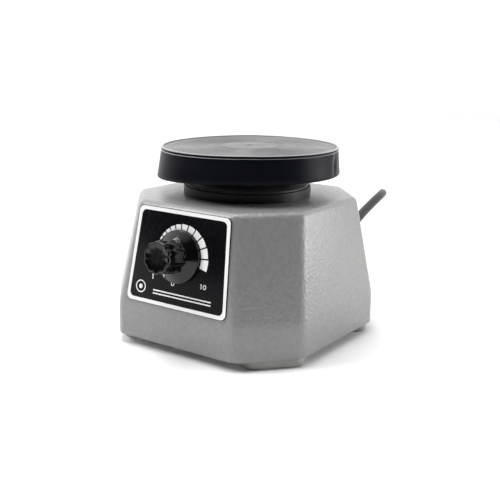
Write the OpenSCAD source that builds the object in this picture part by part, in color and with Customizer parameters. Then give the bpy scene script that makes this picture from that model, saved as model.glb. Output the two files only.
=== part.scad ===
// Vortex mixer: a cast octagonal case on rubber feet, with an upright motor whose
// crank drives a round rubber-topped platform, and a speed knob on the front face.
// Millimetres, +Z up. The origin is on the floor, on the motor's axis. The front is -Y.

/* [Case] */
// Depth of the case at its foot, front to back
case_depth = 131.4; // [110:0.2:160]
// Width of the case at its foot
case_width = 126.8; // [108:0.2:156]
// Width of the front and back faces at the foot
front_width = 77.6; // [64:0.2:84]
// Depth of the case at its top edge
top_depth = 111.6; // [98:0.2:130]
// Width of the case at its top edge
top_width = 110.6; // [98:0.2:126]
// Width of the front and back faces at the top edge
top_front_width = 62.2; // [54:0.2:70]
// Slope of the corner faces in plan, across for each unit along
corner_ratio = 1.12; // [0.9:0.01:1.3]
// Height of the straight band at the foot of the case
band_height = 18; // [12:0.5:22]
// Height of the case, without its feet
case_height = 74.7; // [72:0.1:90]
// Thickness of the case's walls
case_wall = 3; // [2:0.5:4]
// Thickness of the case's top
case_top = 3.5; // [2.5:0.5:5]
// Width of the bevel round the case's top edge
top_bevel = 2; // [1:0.5:3]

/* [Feet and base] */
// Height of the rubber feet
foot_height = 5; // [4:0.5:12]
// Width of the rubber feet, along the corner faces
foot_width = 34; // [24:1:35]
// Depth of the rubber feet, from the corner faces inwards
foot_depth = 24; // [18:1:26]
// Distance from each corner face of the case in to the middle of its foot
foot_inset = 14; // [13:0.5:20]
// Thickness of the steel base plate
plate_thick = 2.5; // [1.5:0.5:4]
// Diameter of the foot screws
foot_screw_d = 4; // [3:0.5:5]

/* [Platform] */
// Diameter of the platform's top
platform_d = 100; // [90:1:120]
// How much wider the rubber band is at its lower edge
band_flare = 2; // [0:0.5:4]
// Height of the rubber band round the platform
platform_height = 15.1; // [12:0.1:22]
// Thickness of the rubber on the platform's top
rubber_top = 3; // [2:0.5:4]
// Thickness of the rubber band
rubber_side = 2.3; // [1.5:0.1:3]
// Gap between the case's top and the underside of the platform's hub
neck_height = 9.8; // [8:0.1:14]
// Diameter of the platform's hub flange
hub_d = 62; // [54:1:66]
// Diameter of the collar on the case's top
collar_d = 72; // [64:1:80]
// Height of the collar
collar_height = 5.2; // [4:0.1:6]

/* [Drive] */
// Throw of the crank, so the platform orbits on a circle of twice this
crank_throw = 2; // [1:0.25:2.5]
// Diameter of the motor's shaft
shaft_d = 6; // [5:0.5:7]
// Diameter of the crank pin
pin_d = 8; // [6:0.5:9]
// Diameter of the rotor
rotor_d = 24.6; // [20:0.2:26]
// Height of the laminated stator
stator_height = 18; // [14:0.5:22]
// Width of the square stator
stator_width = 60; // [56:1:62]
// Radial running clearance of a shaft in its bearing
fit = 0.03; // [0.02:0.01:0.06]

/* [Controls] */
// Width of the front panel at its lower edge
panel_width = 66.5; // [54:0.5:68]
// Width of the front panel at its upper edge
panel_top_width = 60.5; // [50:0.5:62]
// Height of the front panel along the slope
panel_height = 52; // [44:0.5:53]
// Distance up the slope to the middle of the knob
knob_up = 31.3; // [26:0.1:34]
// Diameter of the knob's skirt
skirt_d = 28; // [22:0.5:30]
// Diameter of the knob's grip
grip_d = 16.6; // [14:0.2:19]
// Distance that the knob stands out from the face
knob_height = 19.3; // [16:0.1:24]
// Diameter of the control's shaft
control_shaft_d = 6; // [4:0.5:6]

/* [Mains lead] */
// Diameter of the lead
cord_d = 6; // [5:0.5:7]
// Diameter of the coil at the middle of its turns
coil_d = 68; // [60:1:72]
// Turns that lie side by side in the coil
coil_columns = 3; // [2:1:3]
// Layers of turns in the coil
coil_layers = 2; // [2:1:3]

/* [Hidden] */
$fn = 64;

// A small overlap for cuts, so that they pass right through a face.
cut = 1;
// The gap left between pieces that move past each other.
clear = 0.4;

// Levels, from the floor up.
case_z = foot_height;
crease_z = case_z + band_height;
case_top_z = case_z + case_height;
plate_top_z = case_z + plate_thick;
hub_z = case_top_z + neck_height;
hub_thick = 2.3;
disc_z = hub_z + hub_thick;
cover_top_z = disc_z + platform_height;
disc_top_z = cover_top_z - rubber_top;

// Outline of the case at its foot and at its top: half depth, half width, half front
// width and half side width.
foot_half = [case_depth / 2, case_width / 2, front_width / 2];
top_half = [top_depth / 2, top_width / 2, top_front_width / 2];

// The eight corners of the case's outline. The corner faces keep the same slope in
// plan, so every wall of the case is flat. "inset" moves all eight sides inwards.
function side_half(h) = h[0] - corner_ratio * (h[1] - h[2]);
function corner_shift(inset) = inset * (sqrt(1 + corner_ratio * corner_ratio) - 1) / corner_ratio;
function side_shift(inset) = inset * (sqrt(1 + corner_ratio * corner_ratio) - corner_ratio);
function outline(h, inset = 0) =
    let (
        a = h[0] - inset,
        b = h[1] - inset,
        w = h[2] - corner_shift(inset),
        v = side_half(h) - side_shift(inset)
    )
    [[w, -a], [b, -v], [b, v], [w, a], [-w, a], [-b, v], [-b, -v], [-w, -a]];

// The half sizes of the sloping part of the case at a height above the crease.
slope_height = case_top_z - crease_z;
function half_at(z) = foot_half + (top_half - foot_half) * (z - crease_z) / slope_height;

// The slope of the front face, which the panel and the knob lie on.
face_tilt = atan((case_depth - top_depth) / 2 / slope_height);
face_length = sqrt(pow(slope_height, 2) + pow((case_depth - top_depth) / 2, 2));
panel_up = (face_length - panel_height) / 2 + 0.6;
panel_thick = 0.6;

// A flat-walled solid between two outlines of eight corners.
module loft(low, low_z, high, high_z) {
    points = concat(
        [for (p = low) [p[0], p[1], low_z]],
        [for (p = high) [p[0], p[1], high_z]]
    );
    sides = [for (i = [0:7]) [i, i + 8, (i + 1) % 8 + 8, (i + 1) % 8]];
    polyhedron(points, concat([[for (i = [0:7]) i]], sides, [[for (i = [7:-1:0]) i + 8]]));
}

// Places children on the front face: X across, Y up the slope, Z out of the face.
module on_front(across, up) {
    translate([0, -foot_half[0], crease_z])
        rotate([90 - face_tilt, 0, 0])
            translate([across, up, 0])
                children();
}

// Places children at the four feet, with X pointing away from the motor's axis.
corner_angle = atan2(1, corner_ratio);
foot_reach = case_corner_reach() - foot_inset;
module at_feet() {
    for (sx = [-1, 1], sy = [-1, 1])
        in_quarter(sx, sy)
            rotate([0, 0, corner_angle])
                translate([foot_reach, 0, 0])
                    children();
}

// Mirrors children into one of the four quarters.
module in_quarter(sx, sy) {
    mirror([sx < 0 ? 1 : 0, 0, 0])
        mirror([0, sy < 0 ? 1 : 0, 0])
            children();
}

// A round ring, standing on z.
module ring(outer_r, inner_r, z, height) {
    translate([0, 0, z])
        difference() {
            cylinder(h = height, r = outer_r);
            translate([0, 0, -cut])
                cylinder(h = height + 2 * cut, r = inner_r);
        }
}

// A flat plate with round corners, centred on the axis.
module round_plate(width, depth, corner, height) {
    linear_extrude(height)
        hull()
            for (sx = [-1, 1], sy = [-1, 1])
                translate([sx * (width / 2 - corner), sy * (depth / 2 - corner)])
                    circle(r = corner, $fn = 32);
}

// ---- Case ----
boss_d = foot_screw_d + 8;
boss_z = plate_top_z;
boss_height = 14;
foot_hole_d = foot_screw_d + 0.5;
neck_hole_d = 2 * (stem_r() + crank_throw + 2);
gland_z = 41;
gland_x = 20;
gland_y = foot_half[0] - (gland_z - crease_z) * tan(face_tilt);
gland_hole_d = cord_d + 6;
gland_length = 19;
nut_h = 4;
control_hole_d = 9;
collar_screw_reach = collar_d / 2 - 6;

function stem_r() = bearing_r() + 3.5;
function bearing_r() = pin_d / 2 + 7;

module housing() {
    color([0.56, 0.58, 0.57])
        difference() {
            union() {
                difference() {
                    case_outside();
                    case_inside();
                }
                at_feet()
                    foot_boss();
            }
            at_feet()
                translate([0, 0, boss_z - cut])
                    cylinder(h = boss_height, d = foot_screw_d);
            translate([0, 0, case_top_z - case_top - cut])
                cylinder(h = case_top + 2 * cut, d = neck_hole_d);
            at_collar_screws()
                translate([0, 0, case_top_z - case_top - cut])
                    cylinder(h = case_top + 2 * cut, d = 3.4);
            on_front(0, knob_up)
                translate([0, 0, -case_wall - 2 * cut])
                    cylinder(h = case_wall + 4 * cut, d = control_hole_d);
            at_gland()
                translate([0, 0, -case_wall - 2 * cut])
                    cylinder(h = case_wall + 4 * cut, d = gland_hole_d);
        }
}

module case_outside() {
    bevel_z = case_top_z - top_bevel;
    bevel_inset = 0.8 * top_bevel;
    loft(outline(foot_half), case_z, outline(foot_half), crease_z);
    loft(outline(foot_half), crease_z, outline(half_at(bevel_z)), bevel_z);
    loft(outline(half_at(bevel_z)), bevel_z, outline(top_half, bevel_inset), case_top_z);
}

module case_inside() {
    ceiling_z = case_top_z - case_top;
    loft(outline(foot_half, case_wall), case_z - cut, outline(foot_half, case_wall), crease_z);
    loft(outline(foot_half, case_wall), crease_z, outline(half_at(ceiling_z), case_wall), ceiling_z);
}

// A screw boss behind each corner face, tied to the wall by a rib.
module foot_boss() {
    wall_reach = case_corner_reach() - case_wall / 2;
    translate([0, 0, boss_z]) {
        cylinder(h = boss_height, d = boss_d);
        translate([0, -2, 0])
            cube([wall_reach - foot_reach, 4, boss_height]);
    }
}

// Distance from the axis to the corner faces at the foot.
function case_corner_reach() = foot_half[2] * cos(corner_angle) + foot_half[0] * sin(corner_angle);

module base_plate() {
    color([0.62, 0.63, 0.65])
        difference() {
            loft(
                outline(foot_half, case_wall + clear), case_z,
                outline(foot_half, case_wall + clear), plate_top_z
            );
            at_feet()
                translate([0, 0, case_z - cut])
                    cylinder(h = plate_thick + 2 * cut, d = foot_hole_d);
            at_studs()
                translate([0, 0, case_z - cut])
                    cylinder(h = plate_thick + 2 * cut, d = stud_d);
            for (i = [-2:2])
                translate([-47, i * 8, case_z - cut])
                    round_slot();
        }
}

// One slot of the air vent in the base plate.
module round_slot() {
    hull()
        for (x = [-5, 5])
            translate([x, 0, 0])
                cylinder(h = plate_thick + 2 * cut, r = 1.6, $fn = 32);
}

module feet() {
    color([0.2, 0.21, 0.2])
        at_feet()
            difference() {
                round_plate(foot_depth, foot_width, 7, foot_height);
                translate([0, 0, -cut])
                    cylinder(h = foot_height + 2 * cut, d = foot_hole_d);
                translate([0, 0, -cut])
                    cylinder(h = foot_height / 2 + cut, d = foot_screw_d + 6);
            }
}

module foot_screws() {
    color([0.75, 0.75, 0.76])
        at_feet() {
            translate([0, 0, foot_height / 2])
                rotate([180, 0, 0])
                    pan_head(foot_screw_d + 3.5, 1.8);
            translate([0, 0, foot_height / 2])
                cylinder(h = foot_height / 2 + plate_thick + boss_height - 4, d = foot_screw_d);
        }
}

// A screw head standing on z = 0, with a cross slot in its top.
module pan_head(head_d, head_h) {
    difference() {
        cylinder(h = head_h, d = head_d);
        for (a = [0, 90])
            rotate([0, 0, a])
                translate([-head_d / 3, -head_d / 16, head_h / 2])
                    cube([head_d * 2 / 3, head_d / 8, head_h]);
    }
}

module front_panel() {
    color([0.1, 0.1, 0.1])
        on_front(0, panel_up + panel_height / 2)
            difference() {
                panel_plate();
                translate([0, knob_up - panel_up - panel_height / 2, -cut])
                    cylinder(h = 3 * cut, d = control_hole_d);
            }
}

// The panel narrows upwards with the face, and its corners are round.
module panel_plate() {
    corner = 3;
    linear_extrude(panel_thick)
        hull()
            for (sx = [-1, 1], top = [0, 1]) {
                half = (top == 1 ? panel_top_width : panel_width) / 2 - corner;
                translate([sx * half, (2 * top - 1) * (panel_height / 2 - corner)])
                    circle(r = corner, $fn = 32);
            }
}

// ---- Neck ----
module at_collar_screws() {
    for (a = [45:90:315])
        rotate([0, 0, a])
            translate([collar_screw_reach, 0, 0])
                children();
}

module collar() {
    color([0.1, 0.1, 0.11])
        difference() {
            ring(collar_d / 2, neck_hole_d / 2, case_top_z, collar_height);
            at_collar_screws()
                translate([0, 0, case_top_z - cut])
                    cylinder(h = collar_height - 1, d = 3);
        }
}

module collar_screws() {
    ceiling_z = case_top_z - case_top;
    color([0.75, 0.75, 0.76])
        at_collar_screws() {
            translate([0, 0, ceiling_z])
                rotate([180, 0, 0])
                    pan_head(5.6, 1.8);
            translate([0, 0, ceiling_z])
                cylinder(h = case_top + collar_height - 2.4, d = 3);
        }
}

// The rubber boot slopes up from the collar to a waist just under the platform's hub.
boot_z = case_top_z + collar_height;
module neck_boot() {
    boot_top = hub_z - clear;
    waist = hub_d / 2 - 6;
    foot = collar_d / 2 - 1.5;
    inner = neck_hole_d / 2;
    color([0.12, 0.12, 0.13])
        rotate_extrude()
            polygon([
                [inner, boot_z],
                [foot, boot_z],
                [foot, boot_z + 0.6],
                [waist, boot_top - 1.4],
                [waist, boot_top],
                [inner, boot_top],
            ]);
}

// ---- Platform: it orbits on the crank pin without turning ----
stem_z = case_top_z - case_top - 2.2;
clip_z = stem_z + 0.8;
clip_h = 1;
bearing_z = clip_z + clip_h;
pocket_top_z = hub_z - 0.2;
bearing_gap = 0.3;
bearing_h = (pocket_top_z - bearing_z - bearing_gap) / 2;

module on_pin() {
    translate([0, crank_throw, 0])
        children();
}

module platform_hub() {
    pocket_h = pocket_top_z - stem_z;
    color([0.7, 0.71, 0.72])
        on_pin()
            difference() {
                union() {
                    translate([0, 0, stem_z])
                        cylinder(h = hub_z - stem_z + cut, r = stem_r());
                    translate([0, 0, hub_z])
                        cylinder(h = hub_thick, d = hub_d);
                }
                translate([0, 0, stem_z - cut])
                    cylinder(h = pocket_h + cut, r = bearing_r());
                at_hub_screws()
                    translate([0, 0, hub_z - cut])
                        cylinder(h = hub_thick + 2 * cut, d = 3);
                at_hub_screws()
                    translate([0, 0, hub_z - cut])
                        cylinder(h = cut + 1.2, d = 6);
            }
}

module at_hub_screws() {
    for (a = [0:90:270])
        rotate([0, 0, a])
            translate([hub_d / 2 - 5.5, 0, 0])
                children();
}

module hub_screws() {
    color([0.75, 0.75, 0.76])
        on_pin()
            at_hub_screws() {
                translate([0, 0, hub_z + 1.2])
                    rotate([180, 0, 0])
                        pan_head(5.6, 1.1);
                translate([0, 0, hub_z + 1.2])
                    cylinder(h = 7, d = 3);
            }
}

disc_r = platform_d / 2 - rubber_side;
disc_thick = 3.5;
module platform_disc() {
    skirt = 2.5;
    skirt_z = disc_z + 0.6;
    color([0.7, 0.71, 0.72])
        on_pin()
            difference() {
                union() {
                    translate([0, 0, disc_top_z - disc_thick])
                        cylinder(h = disc_thick, r = disc_r);
                    ring(disc_r, disc_r - skirt, skirt_z, disc_top_z - skirt_z);
                    translate([0, 0, disc_z])
                        cylinder(h = disc_top_z - disc_z, d = hub_d - 2);
                }
                at_hub_screws()
                    translate([0, 0, disc_z - cut])
                        cylinder(h = 7 + cut, d = 3);
            }
}

module rubber_cover() {
    top_r = platform_d / 2;
    color([0.13, 0.13, 0.15])
        on_pin()
            rotate_extrude($fn = 128)
                polygon([
                    [0, disc_top_z],
                    [disc_r, disc_top_z],
                    [disc_r, disc_z],
                    [top_r + band_flare / 2, disc_z],
                    [top_r, cover_top_z - 1],
                    [top_r - 1, cover_top_z],
                    [0, cover_top_z],
                ]);
}

module platform_bearings() {
    color([0.8, 0.8, 0.82])
        on_pin()
            for (i = [0, 1])
                ring(bearing_r(), pin_d / 2 + fit, bearing_z + i * (bearing_h + bearing_gap), bearing_h);
}

module bearing_clip() {
    color([0.4, 0.41, 0.43])
        on_pin()
            ring(bearing_r(), bearing_r() - 2.5, clip_z, clip_h);
}

// ---- Motor ----
stud_d = 4;
stud_at = stator_width / 2 - 6;
mount_h = 8;
bracket_thick = 3;
lower_bracket_z = plate_top_z + mount_h;
stator_z = lower_bracket_z + bracket_thick + 9.5;
stator_top_z = stator_z + stator_height;
upper_bracket_z = stator_top_z + 8.5;
motor_top_z = upper_bracket_z + bracket_thick;
ball_r = shaft_d / 2 + 5;
ball_h = 5;
cup_h = ball_h + 0.5;
bracket_width = stator_width + 2;

module at_studs() {
    for (sx = [-1, 1], sy = [-1, 1])
        translate([sx * stud_at, sy * stud_at, 0])
            children();
}

module motor_mounts() {
    color([0.15, 0.15, 0.16])
        at_studs()
            ring(5.5, stud_d / 2, plate_top_z, mount_h);
}

module motor_studs() {
    color([0.75, 0.75, 0.76])
        at_studs()
            translate([0, 0, case_z])
                cylinder(h = motor_top_z + 5 - case_z, d = stud_d);
}

module motor_nuts() {
    color([0.8, 0.78, 0.7])
        at_studs()
            translate([0, 0, motor_top_z])
                difference() {
                    cylinder(h = 3.2, d = 8, $fn = 6);
                    translate([0, 0, -cut])
                        cylinder(h = 3.2 + 2 * cut, d = stud_d);
                }
}

module motor_spacers() {
    low_z = lower_bracket_z + bracket_thick;
    color([0.7, 0.7, 0.72])
        at_studs() {
            ring(4, stud_d / 2, low_z, stator_z - low_z);
            ring(4, stud_d / 2, stator_top_z, upper_bracket_z - stator_top_z);
        }
}

// A motor bracket with a bearing cup; the cup stands up from z or hangs down from it.
module bracket(cup_up) {
    difference() {
        union() {
            round_plate(bracket_width, bracket_width, 6, bracket_thick);
            translate([0, 0, cup_up ? 0 : -cup_h])
                cylinder(h = cup_h + bracket_thick, r = ball_r + 2);
        }
        translate([0, 0, -cup_h - cut])
            cylinder(h = 2 * cup_h + bracket_thick + 2 * cut, r = shaft_d / 2 + 1.5);
        translate([0, 0, cup_up ? bracket_thick : -cup_h - cut])
            cylinder(h = cup_h + cut, r = ball_r);
        at_studs()
            translate([0, 0, -cut])
                cylinder(h = bracket_thick + 2 * cut, d = stud_d);
        for (a = [0:90:270])
            rotate([0, 0, a])
                translate([0, stator_width / 3, -cut])
                    cylinder(h = bracket_thick + 2 * cut, r = 5);
    }
}

module lower_bracket() {
    color([0.72, 0.73, 0.74])
        translate([0, 0, lower_bracket_z])
            bracket(true);
}

module upper_bracket() {
    color([0.72, 0.73, 0.74])
        translate([0, 0, upper_bracket_z])
            bracket(false);
}

lower_ball_z = lower_bracket_z + bracket_thick;
upper_ball_z = upper_bracket_z - ball_h;
module lower_bearing() {
    color([0.8, 0.8, 0.82])
        ring(ball_r, shaft_d / 2 + fit, lower_ball_z, ball_h);
}

module upper_bearing() {
    color([0.8, 0.8, 0.82])
        ring(ball_r, shaft_d / 2 + fit, upper_ball_z, ball_h);
}

pole_width = 9;
pole_root = stator_width / 2 - 7;
air_gap = 0.5;
module stator_core() {
    color([0.45, 0.46, 0.48])
        translate([0, 0, stator_z])
            difference() {
                union() {
                    difference() {
                        round_plate(stator_width, stator_width, 6, stator_height);
                        translate([0, 0, -cut])
                            cylinder(h = stator_height + 2 * cut, r = pole_root);
                    }
                    for (a = [0:90:270])
                        rotate([0, 0, a])
                            translate([0, -pole_width / 2, 0])
                                cube([pole_root + 1, pole_width, stator_height]);
                }
                translate([0, 0, -cut])
                    cylinder(h = stator_height + 2 * cut, r = rotor_d / 2 + air_gap);
                at_studs()
                    translate([0, 0, -cut])
                        cylinder(h = stator_height + 2 * cut, d = stud_d);
            }
}

coil_in = rotor_d / 2 + 2;
coil_out = pole_root - 1.6;
coil_side = 3;
coil_over = 4;
module stator_windings() {
    color([0.72, 0.4, 0.2])
        for (a = [0:90:270])
            rotate([0, 0, a])
                difference() {
                    translate([coil_in, -pole_width / 2 - coil_side, stator_z - coil_over])
                        cube([coil_out - coil_in, pole_width + 2 * coil_side, stator_height + 2 * coil_over]);
                    translate([0, -pole_width / 2, stator_z])
                        cube([pole_root, pole_width, stator_height]);
                }
}

// ---- Turning parts of the drive ----
fan_z = motor_top_z + 0.6;
fan_hub_h = 4;
crank_z = fan_z + fan_hub_h;
crank_h = stem_z - 1 - crank_z;
module drive_shaft() {
    shaft_z = plate_top_z + 4;
    color([0.82, 0.83, 0.85])
        translate([0, 0, shaft_z])
            cylinder(h = crank_z + crank_h - 1.5 - shaft_z, d = shaft_d);
}

module rotor_core() {
    color([0.5, 0.51, 0.53])
        ring(rotor_d / 2, shaft_d / 2, stator_z - 0.5, stator_height + 1);
}

module cooling_fan() {
    fan_r = stud_at * sqrt(2) - 7;
    color([0.2, 0.22, 0.25])
        difference() {
            union() {
                translate([0, 0, fan_z])
                    cylinder(h = fan_hub_h, r = 7);
                translate([0, 0, fan_z])
                    cylinder(h = 1, r = fan_r);
                for (a = [0:36:324])
                    rotate([0, 0, a])
                        translate([6, -0.6, fan_z])
                            cube([fan_r - 7, 1.2, fan_hub_h - 0.4]);
            }
            translate([0, 0, fan_z - cut])
                cylinder(h = fan_hub_h + 2 * cut, d = shaft_d);
        }
}

// The crank hub carries the pin on one side and a counterweight on the other.
module crank_hub() {
    color([0.65, 0.66, 0.68])
        difference() {
            union() {
                translate([0, 0, crank_z])
                    cylinder(h = crank_h, r = 9);
                translate([0, 0, crank_z])
                    intersection() {
                        cylinder(h = crank_h, r = 19);
                        translate([-14, -20, 0])
                            cube([28, 17, crank_h]);
                    }
            }
            translate([0, 0, crank_z - cut])
                cylinder(h = crank_h + cut - 1.5, d = shaft_d);
            translate([0, crank_throw, crank_z + crank_h - 1.5])
                cylinder(h = 1.5 + cut, d = pin_d);
            translate([0, 0, crank_z + crank_h / 2])
                rotate([0, 90, 0])
                    cylinder(h = 10, d = 2.5);
        }
}

module crank_pin() {
    pin_z = crank_z + crank_h - 1.5;
    color([0.82, 0.83, 0.85])
        on_pin()
            translate([0, 0, pin_z])
                cylinder(h = hub_z - 0.8 - pin_z, d = pin_d);
}

module crank_screw() {
    color([0.3, 0.3, 0.32])
        translate([shaft_d / 2, 0, crank_z + crank_h / 2])
            rotate([0, 90, 0])
                cylinder(h = 5.5, d = 2.5);
}

// ---- Speed control ----
control_r = 12;
control_depth = 11;
module knob() {
    skirt_h = 5;
    lobes = 8;
    color([0.07, 0.07, 0.08])
        on_front(0, knob_up)
            difference() {
                union() {
                    translate([0, 0, panel_thick + clear])
                        cylinder(h = skirt_h, d1 = skirt_d, d2 = skirt_d - 4);
                    translate([0, 0, panel_thick + clear])
                        cylinder(h = knob_height - panel_thick - clear, d = grip_d);
                }
                translate([0, 0, -cut])
                    cylinder(h = cut + 4.5, d = 15);
                translate([0, 0, -cut])
                    cylinder(h = knob_height - 4 + cut, d = control_shaft_d);
                for (i = [0:lobes - 1])
                    rotate([0, 0, i * 360 / lobes])
                        translate([grip_d / 2 + 1.3, 0, skirt_h + panel_thick + clear])
                            cylinder(h = knob_height, r = 2.4);
                translate([0, 0, knob_screw_up])
                    rotate([0, 90, 22.5])
                        cylinder(h = grip_d, d = 2.5);
            }
}

knob_screw_up = 11;
module knob_screw() {
    color([0.75, 0.75, 0.76])
        on_front(0, knob_up)
            translate([0, 0, knob_screw_up])
                rotate([0, 90, 22.5])
                    translate([0, 0, control_shaft_d / 2])
                        cylinder(h = 4, d = 2.5);
}

module control_shaft() {
    color([0.8, 0.81, 0.83])
        on_front(0, knob_up)
            translate([0, 0, -case_wall - control_depth])
                cylinder(h = case_wall + control_depth + knob_height - 5, d = control_shaft_d);
}

module control_body() {
    bush_out = 4;
    color([0.25, 0.27, 0.3])
        on_front(0, knob_up)
            difference() {
                union() {
                    translate([0, 0, -case_wall - control_depth - 1])
                        cylinder(h = control_depth + 1, r = control_r);
                    translate([0, 0, -case_wall - 1])
                        cylinder(h = case_wall + bush_out, d = control_hole_d);
                    for (x = [-5, 0, 5])
                        translate([x - 1, -control_r - 5, -case_wall - 4])
                            cube([2, 7, 1]);
                }
                translate([0, 0, -case_wall - control_depth - 0.4])
                    cylinder(h = 2 * control_depth + case_wall, d = control_shaft_d + 2 * fit);
            }
}

module control_nut() {
    color([0.8, 0.78, 0.7])
        on_front(0, knob_up)
            translate([0, 0, panel_thick])
                difference() {
                    cylinder(h = 2, d = 13, $fn = 6);
                    translate([0, 0, -cut])
                        cylinder(h = 2 + 2 * cut, d = control_hole_d);
                }
}

// ---- Speed board, beside the motor ----
board_x = case_width / 2 - case_wall - 14;
board_z = plate_top_z + 5;
board_thick = 1.6;
board_top_z = board_z + board_thick;
board_width = 20;
board_length = 50;

module at_board_corners() {
    for (sx = [-1, 1], sy = [-1, 1])
        translate([board_x + sx * (board_width / 2 - 3), sy * (board_length / 2 - 3), 0])
            children();
}

module speed_board() {
    color([0.1, 0.35, 0.2])
        difference() {
            translate([board_x, 0, board_z])
                round_plate(board_width, board_length, 1.5, board_thick);
            at_board_corners()
                translate([0, 0, board_z - cut])
                    cylinder(h = board_thick + 2 * cut, d = 2.5);
        }
}

module board_spacers() {
    color([0.85, 0.85, 0.83])
        at_board_corners()
            ring(2.5, 1.25, plate_top_z, board_z - plate_top_z);
}

module board_screws() {
    color([0.75, 0.75, 0.76])
        at_board_corners() {
            translate([0, 0, board_top_z])
                pan_head(4.4, 1.5);
            translate([0, 0, board_z - 4])
                cylinder(h = board_top_z + 0.2 - board_z + 4, d = 2.5);
        }
}

module triac() {
    color([0.12, 0.12, 0.13])
        translate([board_x - 4, -12, board_top_z])
            cube([4, 10, 15]);
}

module heat_sink() {
    fins = 4;
    color([0.75, 0.76, 0.78])
        translate([board_x, -15, board_top_z]) {
            cube([1.6, 16, 20]);
            for (i = [0:fins - 1])
                translate([0, i * 16 / fins + 1, 0])
                    cube([6, 1.2, 20]);
        }
}

module capacitor() {
    color([0.75, 0.6, 0.15])
        translate([board_x - 8, 5, board_top_z])
            cube([6, 14, 11]);
}

module choke() {
    color([0.65, 0.35, 0.2])
        translate([board_x + 4, 12, 0])
            ring(4.8, 2.2, board_top_z, 9);
}

// ---- Wiring ----
block_x = -20;
block_y = foot_half[0] - case_wall - 15;
block_w = 26;
block_d = 12;
block_h = 13;
module terminal_block() {
    color([0.9, 0.9, 0.87])
        translate([block_x - block_w / 2, block_y - block_d / 2, plate_top_z])
            difference() {
                cube([block_w, block_d, block_h]);
                for (i = [0:2])
                    translate([5 + i * 8, 3, block_h - 5])
                        cylinder(h = 6, d = 3.4);
            }
}

module earth_terminal() {
    color([0.8, 0.7, 0.35])
        translate([12, block_y, plate_top_z]) {
            cylinder(h = 1.2, d = 9);
            translate([0, 0, 1.2])
                cylinder(h = 3, d = 7, $fn = 6);
            translate([0, 0, 4.2])
                cylinder(h = 4, d = 4);
        }
}

// A tube swept along points. Each ring of the tube faces along the path.
function unit(v) = v / norm(v);
function heading(p, i) = unit(p[min(i + 1, len(p) - 1)] - p[max(i - 1, 0)]);
function side_of(t) = unit(cross(t, [0, 0, 1]));
function ring_points(p, i, r, sides) =
    let (t = heading(p, i), s = side_of(t), u = cross(s, t))
    [for (k = [0:sides - 1]) p[i] + r * (cos(k * 360 / sides) * s + sin(k * 360 / sides) * u)];

module tube(p, r, sides) {
    last = len(p) - 1;
    points = [for (i = [0:last]) each ring_points(p, i, r, sides)];
    walls = [
        for (i = [0:last - 1], k = [0:sides - 1])
            [i * sides + k, i * sides + (k + 1) % sides, (i + 1) * sides + (k + 1) % sides, (i + 1) * sides + k]
    ];
    ends = [
        [for (k = [sides - 1:-1:0]) k],
        [for (k = [0:sides - 1]) last * sides + k],
    ];
    polyhedron(points, concat(walls, ends));
}

// A point on the gland's axis, at a distance out from the back face.
function gland_axis(out) = [gland_x, gland_y + out * cos(face_tilt), gland_z + out * sin(face_tilt)];

// Their places are given from the pieces that they join.
block_end_x = block_x + block_w / 2;
mains_tail_points = [
    gland_axis(-case_wall - nut_h - 1.4), [gland_x - 1, block_y + 3, 38], [15.5, block_y + 1, 34],
    [10, block_y, 28], [5, block_y, 22], [0, block_y, 16.5], [block_end_x + 3, block_y, 14],
    [block_end_x, block_y, 14],
];
block_front_y = block_y - block_d / 2;
motor_lead_points = [
    [-28, block_front_y - 0.3, 14], [-28.2, block_front_y - 2, 14.2], [-30, block_front_y - 4.5, 16],
    [-33, 34, 19.5], [-34, 28, 22],
    [-33.5, 20, stator_z - 4.5], [-31, 12, stator_z - 3.5], [-27, 7, stator_z - 2.7],
    [-coil_out - 0.2, 5, stator_z - 2.5],
];
control_lead_points = [
    [board_x, -18, board_top_z + 1.3], [board_x - 1, -27, 17.5], [37, -31, 21], [28, -39, 25],
    [19, -46, 30], [11, 7.5 - foot_half[0] + 6, 34], [6, 10.5 - foot_half[0], 36],
];

module mains_tail() {
    color([0.1, 0.1, 0.11])
        tube(mains_tail_points, cord_d / 2, 10);
}

module motor_leads() {
    color([0.6, 0.15, 0.12])
        tube(motor_lead_points, 1.5, 8);
}

module control_leads() {
    color([0.15, 0.2, 0.5])
        tube(control_lead_points, 1.2, 8);
}

// The gland goes through the back face, square to it.
module at_gland() {
    translate([gland_x, gland_y, gland_z])
        rotate([-90 + face_tilt, 0, 0])
            children();
}

module strain_relief() {
    color([0.08, 0.08, 0.09])
        at_gland()
            difference() {
                union() {
                    cylinder(h = 3, d = gland_hole_d + 5);
                    translate([0, 0, 3])
                        cylinder(h = gland_length - 3, d1 = gland_hole_d, d2 = cord_d + 2.4);
                    translate([0, 0, -case_wall - nut_h - 1])
                        cylinder(h = case_wall + nut_h + 2, d = gland_hole_d);
                }
                translate([0, 0, -case_wall - nut_h - 2])
                    cylinder(h = gland_length + case_wall + nut_h + 4, d = cord_d);
            }
}

module gland_nut() {
    color([0.12, 0.12, 0.13])
        at_gland()
            translate([0, 0, -case_wall - nut_h])
                difference() {
                    cylinder(h = nut_h, d = gland_hole_d + 7, $fn = 6);
                    translate([0, 0, -cut])
                        cylinder(h = nut_h + 2 * cut, d = gland_hole_d);
                }
}

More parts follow.
